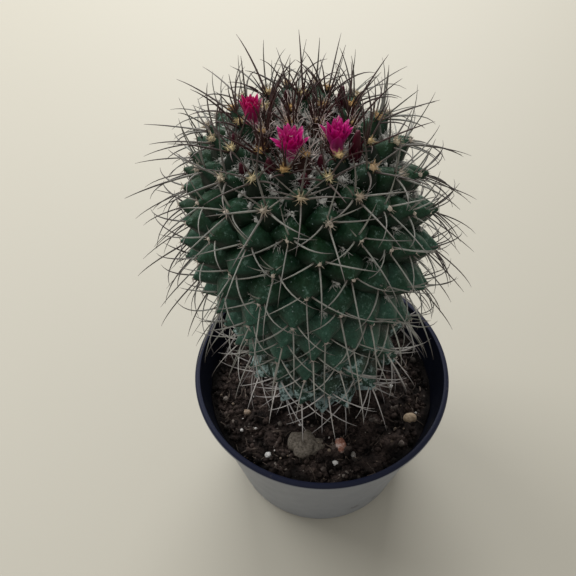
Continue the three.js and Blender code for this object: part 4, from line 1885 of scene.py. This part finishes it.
    def dress(self) -> None:
        """Builds the areoles and the wool of the axils and the crown."""
        finish = WoolFinish().material()
        self._areoles().build("areoles", finish, Slot.CACTUS)
        self._axils().build("wool_axils", finish, Slot.CACTUS)
        self._crown().build("wool_crown", finish, Slot.CACTUS)


@dataclass(frozen=True)
class Stone:
    """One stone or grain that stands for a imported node; spot and half sizes are in mm."""

    name: str
    slot: Slot
    spot: tuple
    size: tuple
    bumps: float
    colours: tuple
    patch: float


CHALK = ((0.62, 0.60, 0.57), (0.76, 0.75, 0.72), (0.85, 0.84, 0.82))
DULL = ((0.16, 0.14, 0.12), (0.26, 0.24, 0.22), (0.42, 0.40, 0.38))
TWIG = ((0.035, 0.024, 0.018), (0.085, 0.062, 0.048), (0.18, 0.14, 0.11))
WHITE_GRIT = ((0.55, 0.53, 0.5), (0.70, 0.68, 0.65), (0.8, 0.79, 0.76))
TAN_GRIT = ((0.12, 0.08, 0.055), (0.24, 0.18, 0.13), (0.36, 0.29, 0.22))


@dataclass
class Ground:
    """Dressing of the soil: its crumbly top, loose crumbs, fibres, grit and the stones."""

    edge_gap: float = 0.3
    # reach from the wall of the painted shade along it, in mm
    wall_shade_reach: tuple = (7, 1)
    rings: int = 120
    around: int = 240
    crumbs: int = 2600
    fibres: int = 170
    grains: int = 85
    keep_off: float = 24
    stones: tuple = (
        Stone("clod", Slot.CLOD, (-8, -32.3), (6.4, 6.2, 3.2), 0.85,
              ((0.060, 0.048, 0.036), (0.130, 0.110, 0.086), (0.200, 0.172, 0.138)), 1.1),
        Stone("stone_tan", Slot.STONE, (41.5, -20), (3.2, 2.6, 2.2), 0.12,
              ((0.30, 0.22, 0.14), (0.40, 0.30, 0.20), (0.50, 0.40, 0.28)), 1.5),
        Stone("stone_rust", Slot.STONE, (7.5, -33), (2.6, 4.2, 2.4), 0.2,
              ((0.16, 0.045, 0.022), (0.42, 0.20, 0.14), (0.80, 0.72, 0.69)), 3.4),
        Stone("stone_dark", Slot.STONE, (24, -20.5), (2.4, 2.2, 2.0), 0.2,
              ((0.05, 0.04, 0.035), (0.10, 0.085, 0.075), (0.18, 0.15, 0.13)), 1.2),
        Stone("stone_small", Slot.STONE, (-36.5, -14.5), (2.4, 1.6, 1.5), 0.2,
              ((0.22, 0.15, 0.10), (0.34, 0.25, 0.18), (0.46, 0.37, 0.29)), 1.2),
        Stone("perlite_1", Slot.PERLITE, (-26, -36.5), (1.5, 1.4, 1.3), 0.3, CHALK, 0.7),
        Stone("perlite_2", Slot.PERLITE, (4.5, -41.5), (1.4, 1.3, 1.2), 0.3, CHALK, 0.7),
        Stone("perlite_3", Slot.PERLITE, (13, -38), (1.2, 1.9, 1.4), 0.3, DULL, 0.7),
        Stone("perlite_4", Slot.PERLITE, (31, 38), (1.6, 1.4, 1.3), 0.3, CHALK, 0.7),
    )

    def top(self) -> tuple[np.ndarray, np.ndarray]:
        """Soil block as rings: underside, side and a crumbly height field to the middle.

        The relief is the smooth height plus random fields of 5, 2.2 and 1 mm.

        Returns:
            (1, S, R, 3) points and the matching tints.
        """
        rim = POT.inner(SOIL_LEVEL, self.edge_gap)
        floor = POT.floor + self.edge_gap
        radius = rim * np.linspace(1, 0.002, self.rings)
        skirt = [(0.05, floor), (POT.inner(floor, self.edge_gap), floor), (rim, SOIL_LEVEL - 2)]
        low = turned(skirt, self.around)
        high = turned(np.stack([radius, np.zeros(self.rings)], 1), self.around)
        relief = 0.75 * rough(high, 5, 11) + 0.75 * rough(high, 2.2, 12) + 0.4 * rough(high, 1.0, 13)
        fade = smooth(0, 3, rim - radius)[:, None] * 0.8 + 0.2
        high[..., 2] = SOIL.height(high[..., 0], high[..., 1]) + relief * fade
        whole = np.concatenate([low, high])[None]
        tint = tinted(whole, 0.0, 0.5)
        # Channel 0 is the rise over the hollows, which the finish turns into painted shade.
        tint[0, len(low):, :, 0] = np.clip(0.5 + relief * 0.4, 0, 1)
        # Channel 2 is the painted shade along the pot's wall.
        tint[0, len(low):, :, 2] = smooth(*self.wall_shade_reach, rim - radius)[:, None]
        return whole, tint

    def scatter(self, many: int, seed: int, inner: float) -> tuple[np.ndarray, np.ndarray]:
        """Places on the soil's top, spread evenly over its disc.

        Args:
            many: Number of places.
            seed: Chooses the draws.
            inner: Places closer than this to the stem's foot are moved out.

        Returns:
            (many, 3) places, and their numbers.
        """
        number = np.arange(many) + seed * 100
        rim = POT.inner(SOIL_LEVEL, 2.0)
        angle = 2 * np.pi * draw(number, 2.7)
        course = np.stack([np.cos(angle), np.sin(angle)], 1)
        spot = course * (rim * np.sqrt(draw(number, 1.3)))[:, None]
        near = np.hypot(*(spot - (SPIRAL.stem_x, SPIRAL.stem_y)).T) < inner
        spot = np.where(near[:, None], spot * 0.2 + rim * 0.75 * course, spot)
        return np.column_stack([spot, SOIL.height(*spot.T)]), np.arange(many)

    def dress(self) -> None:
        """Builds the soil, its crumbs, fibres and grains, and every stone."""
        peat = EarthFinish().material()
        Rings().add(*self.top()).build("soil_top", peat, Slot.SOIL, "soil")
        self._crumbs(peat)
        self._fibres()
        self._grains()
        self._stones()

    def _crumbs(self, peat: bpy.types.Material) -> None:
        """Loose crumbs of peat, most of them small.

        Args:
            peat: Their finish.
        """
        spots, number = self.scatter(self.crumbs, 3, self.keep_off)
        size = 0.38 + 1.15 * draw(number, 4.1) ** 3
        sizes = size[:, None] * (0.7 + 0.6 * draw(number[:, None], (5.1, 6.1, 7.1)))
        edge = POT.inner(SOIL_LEVEL) - np.hypot(spots[:, 0], spots[:, 1])
        spots[:, 2] += 0.4 * size
        grid = lumps(spots, sizes, 6 * draw(number, 9.1), 5, 6, 0.5, 21)
        # Crumbs near the wall get the same painted shade.
        tint = tinted(
            grid, 0.75, draw(number, 8.1)[:, None, None],
            smooth(*self.wall_shade_reach, edge)[:, None, None],
        )
        Rings().add(grid, tint).build("soil_crumbs", peat, Slot.SOIL)

    def _fibres(self) -> None:
        """Bent bits of root and twig that lie on the crumbs."""
        spots, number = self.scatter(self.fibres, 5, self.keep_off)
        angle = 2 * np.pi * draw(number, 3.3)
        length = 2.5 + 7 * draw(number, 4.3) ** 2
        course = np.stack([np.cos(angle), np.sin(angle), 0.12 * sway(number, 5.3)], 1)
        aside = np.stack([-np.sin(angle), np.cos(angle), 0.3 * sway(number, 6.3)], 1)
        u = np.linspace(-0.5, 0.5, 6)
        path = carried(spots[:, None], course[:, None], length[:, None] * u)
        path = carried(path, aside[:, None], (length * 0.5 * sway(number, 7.3))[:, None] * u**2)
        reach = np.hypot(path[..., 0], path[..., 1])
        path[..., :2] *= np.minimum(1, POT.inner(SOIL_LEVEL, 1.0) / reach)[..., None]
        path[..., 2] = SOIL.height(path[..., 0], path[..., 1]) + 0.9
        radius = (0.14 + 0.22 * draw(number, 8.3) ** 3)[:, None] * (1 - 1.2 * u**2)
        twig = StoneFinish("twig", TWIG, 5, 0.85, 0.1).material()
        Rings().add(tube(path, radius, 5)).build("soil_fibres", twig, Slot.SOIL)

    def _grains(self) -> None:
        """Small white and tan grains of grit."""
        spots, number = self.scatter(self.grains, 7, 26)
        size = 0.35 + 0.55 * draw(number, 3.9) ** 2
        sizes = size[:, None] * (0.8 + 0.5 * draw(number[:, None], (5.9, 6.9, 7.9)))
        spots[:, 2] += 0.7 + 0.2 * size
        white = number % 3 == 0
        for name, kept, colours in (
            ("grit_white", white, WHITE_GRIT), ("grit_tan", ~white, TAN_GRIT),
        ):
            grid = lumps(spots[kept], sizes[kept], number[kept] * 1.0, 6, 9, 0.3, 33)
            finish = StoneFinish(name, colours, 0.8).material()
            Rings().add(grid).build(name, finish, Slot.SOIL)

    def _stones(self) -> None:
        """The clod, four stones and four grains of perlite, in place of their solids."""
        for number, stone in enumerate(self.stones, 40):
            centre = np.array([[*stone.spot, SOIL_LEVEL + 0.15 * stone.size[2]]])
            sizes = np.array([stone.size])
            grid = lumps(centre, sizes, np.zeros(1), 26, 40, stone.bumps * 0.55, number, 0.7)
            finish = StoneFinish(stone.name, stone.colours, stone.patch).material()
            Rings().add(grid).build(stone.name + "_grain", finish, stone.slot, stone.name)


# studio


@dataclass(frozen=True)
class Panel:
    """One soft square light, in metres and watts, that faces the plant."""

    name: str
    spot: tuple
    size: float
    power: float


@dataclass
class Studio:
    """Pale plain floor, soft light and the camera at the photographed angle, in metres."""

    pitch: float = 50.846
    roll: float = 1.6986
    rim_radius: float = 0.06
    rim_height: float = 0.078
    shift: tuple = (0.262298, 0.615787)
    distance: float = 5.14368
    frame_size: float = 576
    focal_pixels: float = 650
    sensor: float = 36
    floor: tuple = (0.480, 0.456, 0.382)
    floor_half: float = 3.0
    floor_drop: float = 0.0003
    sky: tuple = (1.0, 0.985, 0.96)
    sky_strength: float = 0.48
    aim: tuple = (0, 0, 0.1)
    panels: tuple = (
        Panel("panel_left", (-0.9, 0.55, 1.1), 0.8, 10.0),
        Panel("panel_back", (0.05, 1.25, 1.0), 1.1, 18.0),
    )

    def set_up(self) -> None:
        """Makes floor, lights and camera."""
        self._floor()
        self._lights()
        self._camera()
        bpy.context.scene.view_settings.view_transform = "Standard"

    @staticmethod
    def _placed(name: str, data: Any) -> Any:
        """A new object in the scene.

        Args:
            name: Its name.
            data: Its mesh, light or camera.

        Returns:
            The object.
        """
        made = bpy.data.objects.new(name, data)
        bpy.context.collection.objects.link(made)
        return made

    def _floor(self) -> None:
        """Large plain sheet just under the pot."""
        mesh = bpy.data.meshes.new("floor")
        corners = [(-1, -1), (1, -1), (1, 1), (-1, 1)]
        points = [(x * self.floor_half, y * self.floor_half, -self.floor_drop) for x, y in corners]
        mesh.from_pydata(points, [], [(0, 1, 2, 3)])
        mesh.materials.append(Shader("floor").finish(Base_Color=self.floor, Roughness=0.6))
        sheet = self._placed("floor", mesh)

    def _lights(self) -> None:
        """Even sky and two broad soft panels."""
        world = bpy.data.worlds.new("sky")
        world.use_nodes = True
        back = world.node_tree.nodes["Background"]
        back.inputs["Color"].default_value = (*self.sky, 1)
        back.inputs["Strength"].default_value = self.sky_strength
        bpy.context.scene.world = world
        for panel in self.panels:
            lamp = bpy.data.lights.new(panel.name, "AREA")
            lamp.size, lamp.energy = panel.size, panel.power
            holder = self._placed(panel.name, lamp)
            holder.location = panel.spot
            aim = Vector(self.aim) - Vector(panel.spot)
            holder.rotation_euler = aim.to_track_quat("-Z", "Y").to_euler()

    def _camera(self) -> None:
        """Camera fitted to the pot's rim and foot; shift and distance count in rim radii."""
        e, r = math.radians(self.pitch), math.radians(self.roll)
        forward = Vector((0, math.cos(e), -math.sin(e)))
        up, right = Vector((0, math.sin(e), math.cos(e))), Vector((1, 0, 0))
        x_axis = right * math.cos(r) - up * math.sin(r)
        y_axis = right * math.sin(r) + up * math.cos(r)
        spot = self.shift[1] * y_axis - self.shift[0] * x_axis - self.distance * forward
        spot = spot * self.rim_radius + Vector((0, 0, self.rim_height))
        lens = bpy.data.cameras.new("camera")
        lens.lens = self.sensor * self.focal_pixels / self.frame_size
        lens.sensor_width = self.sensor
        lens.clip_start = 0.01
        holder = self._placed("camera", lens)
        columns = [(*axis, 0) for axis in (x_axis, y_axis, -forward)] + [(*spot, 1)]
        holder.matrix_world = Matrix(columns).transposed()
        bpy.context.scene.camera = holder


def main() -> None:
    """Builds every sub-assembly in turn, then sets up the studio."""
    logging.basicConfig(level=logging.INFO, format="%(name)s %(message)s")
    for part in (POT, Ground(), Tubercles(), Spines(), Wool(), BLOOMS):
        LOG.info("building %s", type(part).__name__)
        part.dress()
    Studio().set_up()


if __name__ == "__main__":
    main()
